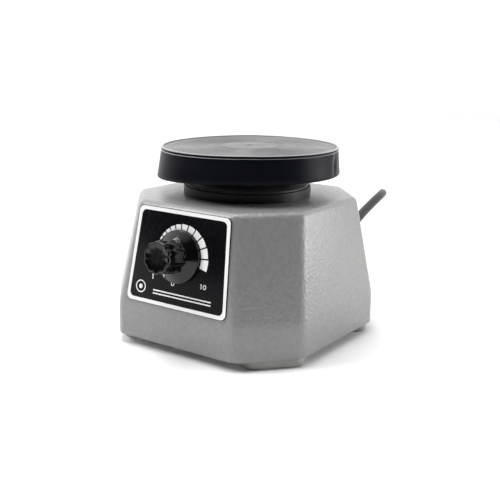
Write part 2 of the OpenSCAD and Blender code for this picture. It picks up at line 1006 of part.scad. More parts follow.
// ---- Mains lead: out of the back, over to the floor, and wound into a coil ----
cord_points = [
    gland_axis(gland_length + 0.2), [19, 93, 47], [17, 106, 50], [15, 119, 53], [13.5, 132, 55.5],
    [11.5, 145, 57.7], [9, 157, 58.5], [4.5, 168, 57.5], [-1.5, 178, 54], [-9, 186, 49], [-17, 191, 42],
    [-24.5, 192, 34], [-31, 189.5, 26.5], [-37, 184.5, 19.5], [-43, 178, 13], [-49.5, 171, 8],
    [-57, 164, 5], [-66, 157.5, 3.3],
];
coil_at = [-72, 112];
tail_points = [[-57, 68, 9], [-50, 70, 9], [-43, 74, 9], [-37, 79, 10], [-31, 84, 10], [-26.2, 84, 10]];
plug_at = [-26, 84, 10];

module cord() {
    color([0.09, 0.09, 0.1])
        tube(cord_points, cord_d / 2, 10);
}

coil_half = coil_columns * cord_d / 2;
coil_height = coil_layers * cord_d;
module cord_coil() {
    color([0.09, 0.09, 0.1])
        translate([coil_at[0], coil_at[1], 0])
            ring(coil_d / 2 + coil_half, coil_d / 2 - coil_half, 0, coil_height);
}

module cord_tail() {
    color([0.09, 0.09, 0.1])
        tube(tail_points, cord_d / 2, 10);
}

// The tie wraps once round the bundle of turns.
module cord_tie() {
    tie = 0.8;
    slack = 0.4;
    color([0.16, 0.16, 0.17])
        translate([coil_at[0], coil_at[1], 0])
            rotate([0, 0, 200])
                translate([coil_d / 2, 0, 0])
                    difference() {
                        translate([-coil_half - slack - tie, -4, 0])
                            cube([2 * (coil_half + slack + tie), 8, coil_height + tie]);
                        translate([-coil_half - slack, -4 - cut, -cut])
                            cube([2 * (coil_half + slack), 8 + 2 * cut, coil_height + cut]);
                    }
}

plug_length = 36;
module plug_body() {
    color([0.09, 0.09, 0.1])
        translate(plug_at)
            rotate([0, 90, 0]) {
                cylinder(h = 13, d1 = cord_d + 2, d2 = cord_d + 6);
                translate([0, 0, 12])
                    hull() {
                        translate([-5, -9, 0])
                            cube([10, 18, 1]);
                        translate([-10, -13, plug_length - 16])
                            cube([20, 26, 4]);
                    }
            }
}

module plug_pins() {
    pin_x = plug_at[0] + plug_length;
    color([0.8, 0.72, 0.45])
        for (p = [[-6, 4], [6, 4], [0, -5]])
            translate([pin_x, plug_at[1] + p[0] - 1, plug_at[2] + p[1] - 3])
                cube([15, 2, 6]);
}

housing();
base_plate();
feet();
foot_screws();
front_panel();
collar();
collar_screws();
neck_boot();
platform_hub();
platform_disc();
hub_screws();
rubber_cover();
platform_bearings();
bearing_clip();
drive_shaft();
rotor_core();
cooling_fan();
crank_hub();
crank_pin();
crank_screw();
stator_core();
stator_windings();
lower_bracket();
upper_bracket();
lower_bearing();
upper_bearing();
motor_studs();
motor_nuts();
motor_spacers();
motor_mounts();
knob();
knob_screw();
control_shaft();
control_body();
control_nut();
speed_board();
board_spacers();
board_screws();
triac();
heat_sink();
capacitor();
choke();
terminal_block();
earth_terminal();
mains_tail();
motor_leads();
control_leads();
strain_relief();
gland_nut();
cord();
cord_coil();
cord_tail();
cord_tie();
plug_body();
plug_pins();
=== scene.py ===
"""Vortex mixer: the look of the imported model. Metres, +Z up, the front panel faces -Y."""
import math

import bmesh
import bpy
from mathutils import Matrix, Vector


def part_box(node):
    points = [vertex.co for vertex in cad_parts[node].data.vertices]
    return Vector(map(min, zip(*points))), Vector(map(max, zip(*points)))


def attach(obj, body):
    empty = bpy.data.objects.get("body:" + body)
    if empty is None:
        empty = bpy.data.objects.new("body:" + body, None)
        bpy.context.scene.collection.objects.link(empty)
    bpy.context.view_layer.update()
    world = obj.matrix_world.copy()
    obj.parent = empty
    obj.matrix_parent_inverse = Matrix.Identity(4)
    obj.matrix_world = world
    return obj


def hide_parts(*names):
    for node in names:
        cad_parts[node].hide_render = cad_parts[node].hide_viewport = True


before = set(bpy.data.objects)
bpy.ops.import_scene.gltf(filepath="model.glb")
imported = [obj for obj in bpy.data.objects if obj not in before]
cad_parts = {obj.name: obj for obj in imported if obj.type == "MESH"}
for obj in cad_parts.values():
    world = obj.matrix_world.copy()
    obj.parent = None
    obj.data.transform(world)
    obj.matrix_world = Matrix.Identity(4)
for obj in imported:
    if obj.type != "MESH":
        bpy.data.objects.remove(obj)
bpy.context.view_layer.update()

MM = 0.001
SAME = 1e-6
PLATFORM_AXIS = (0.0, 0.002)


# ---- Small helpers ----

def low(node):
    """The lowest corner of a CAD node."""
    return Vector(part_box(node)[0])


def high(node):
    """The highest corner of a CAD node."""
    return Vector(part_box(node)[1])


def axis_of(node):
    """The x and y of a CAD node's middle."""
    box_low, box_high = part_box(node)
    return (box_low[0] + box_high[0]) / 2, (box_low[1] + box_high[1]) / 2


def smooth(obj, angle=40):
    """Shades obj smooth, apart from edges sharper than angle."""
    limit = math.radians(angle)
    bm = bmesh.new()
    bm.from_mesh(obj.data)
    for face in bm.faces:
        face.smooth = True
    for edge in bm.edges:
        edge.smooth = len(edge.link_faces) == 2 and edge.calc_face_angle(0.0) < limit
    bm.to_mesh(obj.data)
    bm.free()


def mesh_object(name, bm, material, body, node=None, angle=40, matrix=None):
    """Makes a piece from bm, in place, and says what it rides on and what it replaces."""
    bmesh.ops.recalc_face_normals(bm, faces=bm.faces)
    mesh = bpy.data.meshes.new(name)
    if matrix is not None:
        bm.transform(matrix)
    bm.to_mesh(mesh)
    bm.free()
    obj = bpy.data.objects.new(name, mesh)
    bpy.context.scene.collection.objects.link(obj)
    mesh.materials.append(material)
    smooth(obj, angle)
    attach(obj, body)
    if node:
        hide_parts(*([node] if isinstance(node, str) else node))
    return obj


def lathe(bm, profile, steps=96, centre=(0, 0), turn=None):
    """Spins a profile of (radius, z) points round an upright axis. A closed one repeats its first point."""
    rings = []
    for radius, z in profile:
        if radius < SAME:
            rings.append([bm.verts.new((centre[0], centre[1], z))])
            continue
        ring = []
        for i in range(steps):
            a = 2 * math.pi * i / steps
            r = radius if turn is None else turn(radius, z, a)
            ring.append(bm.verts.new((centre[0] + r * math.cos(a), centre[1] + r * math.sin(a), z)))
        rings.append(ring)
    for a, b in zip(rings, rings[1:]):
        for i in range(steps):
            j = (i + 1) % steps
            if len(a) == 1 and len(b) == 1:
                break
            if len(a) == 1:
                bm.faces.new((a[0], b[i], b[j]))
            elif len(b) == 1:
                bm.faces.new((a[i], b[0], a[j]))
            else:
                bm.faces.new((a[i], b[i], b[j], a[j]))


def skin(bm, rings, ends=True):
    """Joins rings of as many vertices, one after another, and closes the two ends."""
    count = len(rings[0])
    for a, b in zip(rings, rings[1:]):
        for i in range(count):
            j = (i + 1) % count
            bm.faces.new((a[i], a[j], b[j], b[i]))
    if ends:
        bm.faces.new(rings[0][::-1])
        bm.faces.new(rings[-1])


def close(bm):
    """Joins vertices that lie on each other."""
    bmesh.ops.remove_doubles(bm, verts=bm.verts, dist=SAME)


def arc(centre_r, centre_z, radius, start, end, steps=6):
    """Points on an arc in a profile, with angles in degrees."""
    points = []
    for i in range(steps + 1):
        a = math.radians(start + (end - start) * i / steps)
        points.append((centre_r + radius * math.cos(a), centre_z + radius * math.sin(a)))
    return points


def bevel(bm, width, segments=3, angle=25, edges=None):
    """Rounds the edges that are sharper than angle."""
    limit = math.radians(angle)
    if edges is None:
        edges = [e for e in bm.edges if len(e.link_faces) == 2 and e.calc_face_angle(0.0) > limit]
    bmesh.ops.bevel(bm, geom=edges, offset=width, segments=segments, profile=0.5, affect="EDGES",
                    clamp_overlap=True)


def box_mesh(bm, size, centre, matrix=None):
    """Adds a box."""
    made = bmesh.ops.create_cube(bm, size=1)["verts"]
    m = Matrix.Translation(centre) @ Matrix.Diagonal((*size, 1))
    if matrix is not None:
        m = matrix @ m
    bmesh.ops.transform(bm, matrix=m, verts=made)
    return made


def cut(target, cutter):
    """Cuts one mesh with another and drops the cutter."""
    modifier = target.modifiers.new("cut", "BOOLEAN")
    modifier.operation = "DIFFERENCE"
    modifier.solver = "EXACT"
    modifier.object = cutter
    graph = bpy.context.evaluated_depsgraph_get()
    mesh = bpy.data.meshes.new_from_object(target.evaluated_get(graph))
    target.modifiers.clear()
    target.data = mesh
    bpy.data.objects.remove(cutter)


def loose(name, bm):
    """A mesh object that only helps to make another piece."""
    bmesh.ops.recalc_face_normals(bm, faces=bm.faces)
    mesh = bpy.data.meshes.new(name)
    bm.to_mesh(mesh)
    bm.free()
    obj = bpy.data.objects.new(name, mesh)
    bpy.context.scene.collection.objects.link(obj)
    return obj


def add(bm, part):
    """Adds a part's mesh to bm, and drops the part."""
    mesh = bpy.data.meshes.new("part")
    part.to_mesh(mesh)
    part.free()
    bm.from_mesh(mesh)


def drill(bm, radius, depth, matrix, segments=32):
    """Adds a round cutter."""
    made = bmesh.ops.create_cone(bm, cap_ends=True, segments=segments, radius1=radius, radius2=radius,
                                 depth=depth)
    bmesh.ops.transform(bm, matrix=matrix, verts=made["verts"])


def taken(obj):
    """The mesh of a helping object, which is dropped."""
    bm = bmesh.new()
    bm.from_mesh(obj.data)
    bpy.data.objects.remove(obj)
    return bm


# ---- Camera ----

CAMERA_AT = (0.2721, -0.3934, 0.1639)
CAMERA_HEADING = 34.41
CAMERA_DOWN = 13.86
CAMERA_ROLL = 1.04
CAMERA_LENS = 61.2


def make_camera():
    data = bpy.data.cameras.new("camera")
    data.lens = CAMERA_LENS
    data.sensor_width = 36
    data.clip_start = 0.01
    obj = bpy.data.objects.new("camera", data)
    bpy.context.scene.collection.objects.link(obj)
    obj.matrix_world = (
        Matrix.Translation(CAMERA_AT)
        @ Matrix.Rotation(math.radians(CAMERA_HEADING), 4, "Z")
        @ Matrix.Rotation(math.radians(90 - CAMERA_DOWN), 4, "X")
        @ Matrix.Rotation(math.radians(CAMERA_ROLL), 4, "Z")
    )
    bpy.context.scene.camera = obj


# ---- Materials ----

class Look:
    """A node material that is built one step at a time."""

    def __init__(self, name, base, rough=0.5, metal=0.0, **sockets):
        self.material = bpy.data.materials.new(name)
        self.material.use_nodes = True
        self.nodes = self.material.node_tree.nodes
        self.links = self.material.node_tree.links
        self.shader = self.nodes["Principled BSDF"]
        self.shader.inputs["Metallic"].default_value = metal
        self.shader.inputs["Roughness"].default_value = rough
        self.shader.inputs["Base Color"].default_value = (*base, 1)
        for key, value in sockets.items():
            self.shader.inputs[key.replace("_", " ")].default_value = value
        self.base = base
        self.rough = rough
        self.coords = self.nodes.new("ShaderNodeTexCoord")
        self.height = None
        self.material.diffuse_color = (*base, 1)

    def noise(self, scale, detail=3.0, roughness=0.55, stretch=None):
        """A noise texture whose scale is in waves per metre."""
        texture = self.nodes.new("ShaderNodeTexNoise")
        texture.inputs["Scale"].default_value = scale
        texture.inputs["Detail"].default_value = detail
        texture.inputs["Roughness"].default_value = roughness
        self.place(texture, stretch)
        return texture.outputs["Fac"]

    def place(self, texture, stretch=None):
        """Feeds a texture with object coordinates, stretched or not."""
        if stretch is None:
            self.links.new(self.coords.outputs["Object"], texture.inputs["Vector"])
            return
        mapping = self.nodes.new("ShaderNodeMapping")
        mapping.inputs["Scale"].default_value = stretch
        self.links.new(self.coords.outputs["Object"], mapping.inputs["Vector"])
        self.links.new(mapping.outputs["Vector"], texture.inputs["Vector"])

    def cells(self, scale, smoothness=0.6):
        """A texture of soft-edged cells."""
        texture = self.nodes.new("ShaderNodeTexVoronoi")
        texture.feature = "SMOOTH_F1"
        texture.inputs["Scale"].default_value = scale
        texture.inputs["Smoothness"].default_value = smoothness
        self.place(texture)
        return texture.outputs["Distance"]

    def layers(self, scale):
        """Level bands, one above the other."""
        texture = self.nodes.new("ShaderNodeTexWave")
        texture.wave_type = "BANDS"
        texture.bands_direction = "Z"
        texture.inputs["Scale"].default_value = scale
        self.place(texture)
        return texture.outputs["Fac"]

    def reach(self, centre):
        """Distance from an upright axis, in metres."""
        flat = self.nodes.new("ShaderNodeMapping")
        flat.inputs["Location"].default_value = (-centre[0], -centre[1], 0)
        flat.inputs["Scale"].default_value = (1, 1, 0)
        length = self.nodes.new("ShaderNodeVectorMath")
        length.operation = "LENGTH"
        self.links.new(self.coords.outputs["Object"], flat.inputs["Vector"])
        self.links.new(flat.outputs["Vector"], length.inputs[0])
        return length.outputs["Value"]

    def spread(self, value, low_end, high_end, to_low, to_high):
        """Maps a value from one range to another."""
        node = self.nodes.new("ShaderNodeMapRange")
        node.inputs["From Min"].default_value = low_end
        node.inputs["From Max"].default_value = high_end
        node.inputs["To Min"].default_value = to_low
        node.inputs["To Max"].default_value = to_high
        self.links.new(value, node.inputs["Value"])
        return node.outputs["Result"]

    def colours(self, value, stops):
        """Drives the base colour from value, through stops of (position, colour)."""
        ramp = self.nodes.new("ShaderNodeValToRGB")
        elements = ramp.color_ramp.elements
        while len(elements) < len(stops):
            elements.new(0.5)
        for element, (position, colour) in zip(elements, stops):
            element.position = position
            element.color = (*colour, 1)
        self.links.new(value, ramp.inputs["Fac"])
        self.links.new(ramp.outputs["Color"], self.shader.inputs["Base Color"])

    def tint(self, value, amount=0.12):
        """Lets the base colour vary a little with value."""
        darker = tuple(c * (1 - amount) for c in self.base)
        lighter = tuple(min(1, c * (1 + amount)) for c in self.base)
        self.colours(value, [(0.3, darker), (0.7, lighter)])

    def roughen(self, value, amount=0.08):
        """Lets the roughness vary a little with value."""
        result = self.spread(value, 0.3, 0.7, max(0.02, self.rough - amount), min(1, self.rough + amount))
        self.links.new(result, self.shader.inputs["Roughness"])

    def bump(self, value, distance, strength=1.0):
        """Adds relief of a given depth in metres."""
        node = self.nodes.new("ShaderNodeBump")
        node.inputs["Distance"].default_value = distance
        node.inputs["Strength"].default_value = strength
        self.links.new(value, node.inputs["Height"])
        if self.height is not None:
            self.links.new(self.height, node.inputs["Normal"])
        self.height = node.outputs["Normal"]
        self.links.new(self.height, self.shader.inputs["Normal"])


def enamel():
    """Grey hammer-finish enamel over a casting."""
    look = Look("case_enamel", (0.2, 0.203, 0.198), rough=0.36, Specular_IOR_Level=0.85, Coat_Weight=0.2,
                Coat_Roughness=0.3)
    grain = look.noise(1100, 2.5)
    look.tint(look.noise(420, 4), 0.09)
    look.roughen(look.noise(700, 2), 0.06)
    look.bump(look.noise(28, 1), 0.0012, 0.18)
    look.bump(look.cells(620, smoothness=0.8), 0.0003, 0.6)
    look.bump(grain, 0.0001, 0.6)
    return look.material


def rubber(name, base, rough, grain=1600, depth=0.00006, **more):
    """Moulded rubber or soft PVC."""
    look = Look(name, base, rough=rough, **more)
    look.tint(look.noise(150, 4), 0.12)
    look.roughen(look.noise(60, 3), 0.05)
    look.bump(look.noise(grain, 3), depth, 0.7)
    return look.material


def cover_top():
    """Dusty black rubber painted grey, partly for dust and partly as painted sheen: lighter towards its rim,
    and darker in the middle as painted shade.
    """
    look = Look("cover_top", (0.05, 0.05, 0.052), rough=0.5, Specular_IOR_Level=0.6)
    out = look.spread(look.reach(PLATFORM_AXIS), 0.012, 0.046, 0.0, 1.0)
    # Painted sheen: the grey grows lighter towards the rim, and the darker middle is painted shade.
    look.colours(out, [(0.0, (0.11, 0.105, 0.106)), (0.5, (0.12, 0.117, 0.118)), (1.0, (0.14, 0.14, 0.142))])
    look.roughen(look.noise(130, 4), 0.1)
    look.bump(look.noise(900, 3), 0.00008, 0.7)
    return look.material


def plastic(name, base, rough, depth=0.00003, **more):
    """Moulded plastic with a slight grain."""
    look = Look(name, base, rough=rough, **more)
    look.tint(look.noise(90, 3), 0.08)
    look.roughen(look.noise(300, 3), 0.05)
    look.bump(look.noise(1400, 2), depth, 0.5)
    return look.material


def metal(name, base, rough, stretch=(1, 1, 40), scale=300, depth=0.00002):
    """Plated or machined metal, with marks along one direction."""
    look = Look(name, base, rough=rough, metal=1.0)
    marks = look.noise(scale, 3, stretch=stretch)
    look.tint(marks, 0.1)
    look.roughen(marks, 0.1)
    look.bump(marks, depth, 0.5)
    return look.material


def laminated():
    """A stack of thin steel sheets, seen at their edges."""
    look = Look("stacked_steel", (0.33, 0.34, 0.36), rough=0.42, metal=0.9)
    look.tint(look.noise(500, 3), 0.15)
    look.bump(look.layers(320), 0.00012, 0.8)
    return look.material


def wound_copper():
    """Turns of enamelled wire."""
    look = Look("wound_copper", (0.62, 0.24, 0.09), rough=0.28, metal=0.85, Coat_Weight=0.4)
    look.tint(look.noise(300, 3), 0.15)
    look.bump(look.layers(260), 0.00025, 0.9)
    return look.material


def green_board():
    """Solder mask over copper tracks."""
    look = Look("board_mask", (0.02, 0.16, 0.07), rough=0.3, Coat_Weight=0.5)
    look.tint(look.cells(260), 0.35)
    look.bump(look.cells(260), 0.00003, 0.6)
    return look.material


def printed(name, base, rough, **more):
    """Ink or foil on the panel, with a fine screen-print grain."""
    look = Look(name, base, rough=rough, **more)
    look.tint(look.noise(900, 2), 0.03)
    look.roughen(look.noise(400, 3), 0.05)
    look.bump(look.noise(2200, 2), 0.00001, 0.4)
    return look.material


LOOKS = {
    "enamel": enamel(),
    "cover": cover_top(),
    # Light grey on the upward faces of the cover's rim: a painted highlight.
    "rim": rubber("rim_painted_highlight", (0.3, 0.3, 0.31), 0.38),
    "band": rubber("band_rubber", (0.0012, 0.0016, 0.0045), 0.34, depth=0.00003, Specular_IOR_Level=0.08),
    "collar": plastic("collar_plastic", (0.005, 0.005, 0.006), 0.45, Specular_IOR_Level=0.25),
    "boot": rubber("boot_rubber", (0.03, 0.03, 0.032), 0.4),
    "foot": rubber("foot_rubber", (0.33, 0.34, 0.31), 0.5),
    "knob": plastic("knob_gloss", (0.002, 0.002, 0.0025), 0.13, Specular_IOR_Level=0.4),
    "mark": printed("knob_mark", (0.5, 0.5, 0.48), 0.5),
    "panel": printed("panel_black", (0.003, 0.003, 0.0045), 0.26, Specular_IOR_Level=0.1),
    "ink": printed("panel_white", (0.82, 0.83, 0.82), 0.45),
    "lead": rubber("lead_sheath", (0.007, 0.007, 0.008), 0.4, depth=0.00003, Specular_IOR_Level=0.25),
    "gland": plastic("gland_nylon", (0.016, 0.016, 0.018), 0.42),
    "tie": plastic("tie_nylon", (0.02, 0.02, 0.022), 0.5),
    "plug": plastic("plug_pvc", (0.015, 0.015, 0.017), 0.4, depth=0.00005),
    "brass": metal("plain_brass", (0.74, 0.56, 0.26), 0.24, stretch=(30, 1, 1)),
    "nickel": metal("nickel_brass", (0.72, 0.68, 0.58), 0.25, stretch=(1, 1, 20)),
    "zinc": metal("zinc_plate", (0.66, 0.67, 0.69), 0.34, stretch=(1, 1, 1), scale=500),
    "sheet": metal("sheet_steel", (0.5, 0.51, 0.53), 0.4, stretch=(1, 25, 1)),
    "alloy": metal("cast_alloy", (0.62, 0.63, 0.65), 0.42, stretch=(1, 1, 1), scale=900, depth=0.00005),
    "ground": metal("ground_steel", (0.7, 0.71, 0.73), 0.2, stretch=(1, 1, 60)),
    "bright": metal("bearing_steel", (0.75, 0.76, 0.78), 0.12, stretch=(1, 1, 30)),
    "blued": metal("blued_steel", (0.12, 0.13, 0.15), 0.35, stretch=(1, 1, 1)),
    "stack": laminated(),
    "copper": wound_copper(),
    "board": green_board(),
    "fan": plastic("fan_nylon", (0.03, 0.035, 0.04), 0.5),
    "nylon": plastic("white_nylon", (0.78, 0.78, 0.74), 0.45),
    "epoxy": plastic("epoxy_case", (0.015, 0.015, 0.017), 0.55),
    "film": plastic("film_case", (0.55, 0.36, 0.04), 0.3),
    "control": plastic("control_case", (0.05, 0.06, 0.08), 0.4),
    "red": plastic("red_wire", (0.4, 0.03, 0.02), 0.4),
    "blue": plastic("blue_wire", (0.03, 0.06, 0.3), 0.4),
    "bush": rubber("bush_rubber", (0.02, 0.02, 0.02), 0.55),
}

# CAD nodes whose edges are rounded, as cast or turned pieces are, and by how much.
ROUNDED = {
    "platform_hub": 0.0004, "platform_disc": 0.0005, "crank_hub": 0.0004, "crank_pin": 0.0003,
    "drive_shaft": 0.0003, "lower_bracket": 0.0005, "upper_bracket": 0.0005, "gland_nut": 0.0004,
    "motor_nuts": 0.0003, "control_nut": 0.0003, "heat_sink": 0.0001, "terminal_block": 0.0004,
    "capacitor": 0.0005, "triac": 0.0002, "stator_windings": 0.0012, "cooling_fan": 0.0002,
}

# The look of each CAD node that is shown as it is, or that a piece replaces.
NODE_LOOKS = {
    "housing": "enamel", "base_plate": "sheet", "feet": "foot", "foot_screws": "zinc", "front_panel": "panel",
    "collar": "collar", "collar_screws": "zinc", "neck_boot": "boot",
    "platform_hub": "alloy", "platform_disc": "alloy", "hub_screws": "zinc", "rubber_cover": "cover",
    "platform_bearings": "bright", "bearing_clip": "blued",
    "drive_shaft": "ground", "rotor_core": "stack", "cooling_fan": "fan", "crank_hub": "alloy",
    "crank_pin": "ground", "crank_screw": "blued",
    "stator_core": "stack", "stator_windings": "copper", "lower_bracket": "alloy", "upper_bracket": "alloy",
    "lower_bearing": "bright", "upper_bearing": "bright", "motor_studs": "zinc", "motor_nuts": "zinc",
    "motor_spacers": "ground", "motor_mounts": "bush",
    "knob": "knob", "knob_screw": "zinc", "control_shaft": "ground", "control_body": "control",
    "control_nut": "nickel",
    "speed_board": "board", "board_spacers": "nylon", "board_screws": "zinc", "triac": "epoxy",
    "heat_sink": "alloy", "capacitor": "film", "choke": "copper", "terminal_block": "nylon",
    "earth_terminal": "nickel", "mains_tail": "lead", "motor_leads": "red", "control_leads": "blue",
    "strain_relief": "gland", "gland_nut": "gland", "cord": "lead", "cord_coil": "lead", "cord_tail": "lead",
    "cord_tie": "tie", "plug_body": "plug", "plug_pins": "brass",
}


def paint_nodes():
    """Gives every CAD node its material, and rounds the edges of those that are shown."""
    for name, look in NODE_LOOKS.items():
        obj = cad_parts[name]
        obj.data.materials.clear()
        obj.data.materials.append(LOOKS[look])
        if name in ROUNDED:
            modifier = obj.modifiers.new("edges", "BEVEL")
            modifier.width = ROUNDED[name]
            modifier.segments = 2
            modifier.limit_method = "ANGLE"
            modifier.angle_limit = math.radians(35)


# ---- Mains lead ----

CORD_D = 0.006
CORD_POINTS = [
    (20, 81.5, 44.3), (19, 93, 47), (17, 106, 50), (15, 119, 53), (13.5, 132, 55.5), (11.5, 145, 57.7),
    (9, 157, 58.5), (4.5, 168, 57.5), (-1.5, 178, 54), (-9, 186, 49), (-17, 191, 42), (-24.5, 192, 34),
    (-31, 189.5, 26.5), (-37, 184.5, 19.5), (-43, 178, 13), (-49.5, 171, 8), (-57, 164, 5),
    (-66, 157.5, 3.3),
]
TAIL_POINTS = [(-57, 68, 9), (-50, 70, 9), (-43, 74, 9), (-37, 79, 10), (-31, 84, 10), (-26.2, 84, 10)]
COIL_D = 0.068
COIL_COLUMNS = 3
COIL_START = 95
COIL_END = 275
COIL_TURNS = 5
COIL_STEPS = 24
CLIMB_ANGLE = 120


def coil_route():
    """The turns of the coil: inwards along the lower layer, then outwards along the upper one."""
    cx, cy = axis_of("cord_coil")
    outer = COIL_D / 2 + (COIL_COLUMNS - 1) / 2 * CORD_D
    inner = COIL_D / 2 - (COIL_COLUMNS - 1) / 2 * CORD_D
    whole = 360 * COIL_TURNS + COIL_END - COIL_START
    half = whole / 2
    count = round(whole / 360 * COIL_STEPS)
    points = []
    for i in range(count + 1):
        turned = whole * i / count
        if turned <= half:
            share = min(1, turned / (360 * (COIL_COLUMNS - 1)))
            radius = outer + (inner - outer) * share
        else:
            share = min(1, (whole - turned) / (360 * (COIL_COLUMNS - 1)))
            radius = outer + (inner - outer) * share
        climb = min(1, max(0, (turned - half + CLIMB_ANGLE / 2) / CLIMB_ANGLE))
        climb = climb * climb * (3 - 2 * climb)
        z = CORD_D / 2 + climb * CORD_D
        a = math.radians(COIL_START + turned)
        points.append((cx + radius * math.cos(a), cy + radius * math.sin(a), z))
    return points


def make_cord():
    """The lead as one curve, from the gland through its coil to the plug."""
    first = [tuple(c * MM for c in p) for p in CORD_POINTS]
    last = [tuple(c * MM for c in p) for p in TAIL_POINTS]
    route = first + coil_route() + last
    curve = bpy.data.curves.new("mains_lead", "CURVE")
    curve.dimensions = "3D"
    curve.bevel_depth = CORD_D / 2
    curve.bevel_resolution = 6
    curve.use_fill_caps = True
    spline = curve.splines.new("NURBS")
    spline.points.add(len(route) - 1)
    for point, place in zip(spline.points, route):
        point.co = (*place, 1)
    spline.order_u = 4
    spline.use_endpoint_u = True
    spline.resolution_u = 4
    obj = bpy.data.objects.new("mains_lead", curve)
    bpy.context.scene.collection.objects.link(obj)
    curve.materials.append(LOOKS["lead"])
    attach(obj, "base")
    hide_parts("cord", "cord_coil", "cord_tail")
    return obj


make_camera()
paint_nodes()
lead = make_cord()


# ---- Case ----

CORNER_RATIO = 1.12
FRONT_HALF = 0.0388
TOP_HALF = (0.0558, 0.0553, 0.0311)
BAND = 0.018
CASE_WALL = 0.003
CASE_TOP = 0.0035
CASE_LOW = low("housing")
CASE_HIGH = high("housing")
FOOT_HALF = (CASE_HIGH.y, CASE_HIGH.x, FRONT_HALF)
CREASE_Z = CASE_LOW.z + BAND
SLOPE = CASE_HIGH.z - CREASE_Z
FACE_TILT = math.atan2(FOOT_HALF[0] - TOP_HALF[0], SLOPE)
KNOB_UP = 0.0313


def half_at(z):
    """The case's half sizes at a height on its slope."""
    share = (z - CREASE_Z) / SLOPE
    return tuple(f + (t - f) * share for f, t in zip(FOOT_HALF, TOP_HALF))


def octagon(half, inset=0.0):
    """The case's outline, moved inwards by inset."""
    root = math.sqrt(1 + CORNER_RATIO ** 2)
    a = half[0] - inset
    b = half[1] - inset
    w = half[2] - inset * (root - 1) / CORNER_RATIO
    v = half[0] - CORNER_RATIO * (half[1] - half[2]) - inset * (root - CORNER_RATIO)
    return [(w, -a), (b, -v), (b, v), (w, a), (-w, a), (-b, v), (-b, -v), (-w, -a)]


def loft(bm, levels):
    """A closed solid through outlines of eight corners at several heights."""
    skin(bm, [[bm.verts.new((x, y, z)) for x, y in outline] for outline, z in levels])


def level_at(edge, z):
    """Whether an edge lies at a height."""
    return all(abs(v.co.z - z) < SAME for v in edge.verts)


def on_front(across, up, out=0.0):
    """A matrix that places things on the front face: X across, Y up the slope, Z out of the face."""
    start = Matrix.Translation((0, -FOOT_HALF[0], CREASE_Z))
    return start @ Matrix.Rotation(math.pi / 2 - FACE_TILT, 4, "X") @ Matrix.Translation((across, up, out))


FOOT_DEPTH = 0.024
FOOT_WIDTH = 0.034
FOOT_CORNER = 0.007
FOOT_INSET = 0.014
FOOT_SCREW_HOLE_R = 0.00225
CROSS_LENGTH = 0.0046
CROSS_WIDTH = 0.0009
CORNER_ANGLE = math.atan2(1, CORNER_RATIO)


def foot_frames():
    """The middle of each foot, with X pointing out through the corner face."""
    reach = FRONT_HALF * math.cos(CORNER_ANGLE) + FOOT_HALF[0] * math.sin(CORNER_ANGLE) - FOOT_INSET
    angles = (CORNER_ANGLE, math.pi - CORNER_ANGLE, math.pi + CORNER_ANGLE, -CORNER_ANGLE)
    return [Matrix.Rotation(a, 4, "Z") @ Matrix.Translation((reach, 0, 0)) for a in angles]


GLAND_X = 0.02
GLAND_Z = 0.041


def gland_matrix():
    """The middle of the gland on the back face, with Z out of the face."""
    y = FOOT_HALF[0] - (GLAND_Z - CREASE_Z) * math.tan(FACE_TILT)
    return Matrix.Translation((GLAND_X, y, GLAND_Z)) @ Matrix.Rotation(-math.pi / 2 + FACE_TILT, 4, "X")


CASE_ROUND = 0.0034
LOWER_ROUND = 0.0008
NECK_LEDGE = 0.0175
SHAFT_HOLE_R = 0.0045
GLAND_HOLE_R = 0.006
BOSS_R = 0.006
BOSS_HOLE_R = 0.002
BOSS_LOW = 0.0075
BOSS_HIGH = 0.0215
WEB = (0.0085, 0.004, 0.0136)
WEB_AT = (0.0084, 0, 0.0144)


def make_case():
    """The cast shell: eight sides, an open underside, holes, and a boss with a web in each corner."""
    bm = bmesh.new()
    loft(bm, [
        (octagon(FOOT_HALF), CASE_LOW.z),
        (octagon(FOOT_HALF), CREASE_Z),
        (octagon(TOP_HALF), CASE_HIGH.z),
    ])
    bmesh.ops.recalc_face_normals(bm, faces=bm.faces)
    under = [e for e in bm.edges if level_at(e, CASE_LOW.z)]
    crease = [e for e in bm.edges if level_at(e, CREASE_Z)]
    others = [e for e in bm.edges if e not in under and e not in crease]
    bevel(bm, CASE_ROUND, 5, edges=others + crease)
    under = [e for e in bm.edges if level_at(e, CASE_LOW.z) and e.calc_face_angle(0) > 0.5]
    bevel(bm, LOWER_ROUND, 2, edges=under)
    shell = loose("case_shell_rough", bm)

    inner = bmesh.new()
    ceiling = CASE_HIGH.z - CASE_TOP
    loft(inner, [
        (octagon(FOOT_HALF, CASE_WALL), CASE_LOW.z - 0.002),
        (octagon(FOOT_HALF, CASE_WALL), CREASE_Z),
        (octagon(half_at(ceiling), CASE_WALL), ceiling),
    ])
    cut(shell, loose("case_hollow", inner))

    holes = bmesh.new()
    for radius, matrix in (
        (-low("collar").x - NECK_LEDGE, Matrix.Translation((0, 0, ceiling))),
        (SHAFT_HOLE_R, on_front(0, KNOB_UP)),
        (GLAND_HOLE_R, gland_matrix()),
    ):
        drill(holes, radius, 0.02, matrix, 64)
    cut(shell, loose("case_holes", holes))

    bosses = bmesh.new()
    boss = [(BOSS_HOLE_R, BOSS_LOW), (BOSS_R, BOSS_LOW), (BOSS_R, BOSS_HIGH - 0.0003),
            (BOSS_R - 0.0003, BOSS_HIGH), (BOSS_HOLE_R, BOSS_HIGH), (BOSS_HOLE_R, BOSS_LOW)]
    for place in foot_frames():
        lathe(bosses, boss, 32, place.translation[:2])
        box_mesh(bosses, WEB, WEB_AT, place)
    close(bosses)
    bm = taken(shell)
    add(bm, bosses)
    mesh_object("case_casting", bm, LOOKS["enamel"], "base", "housing", 30)


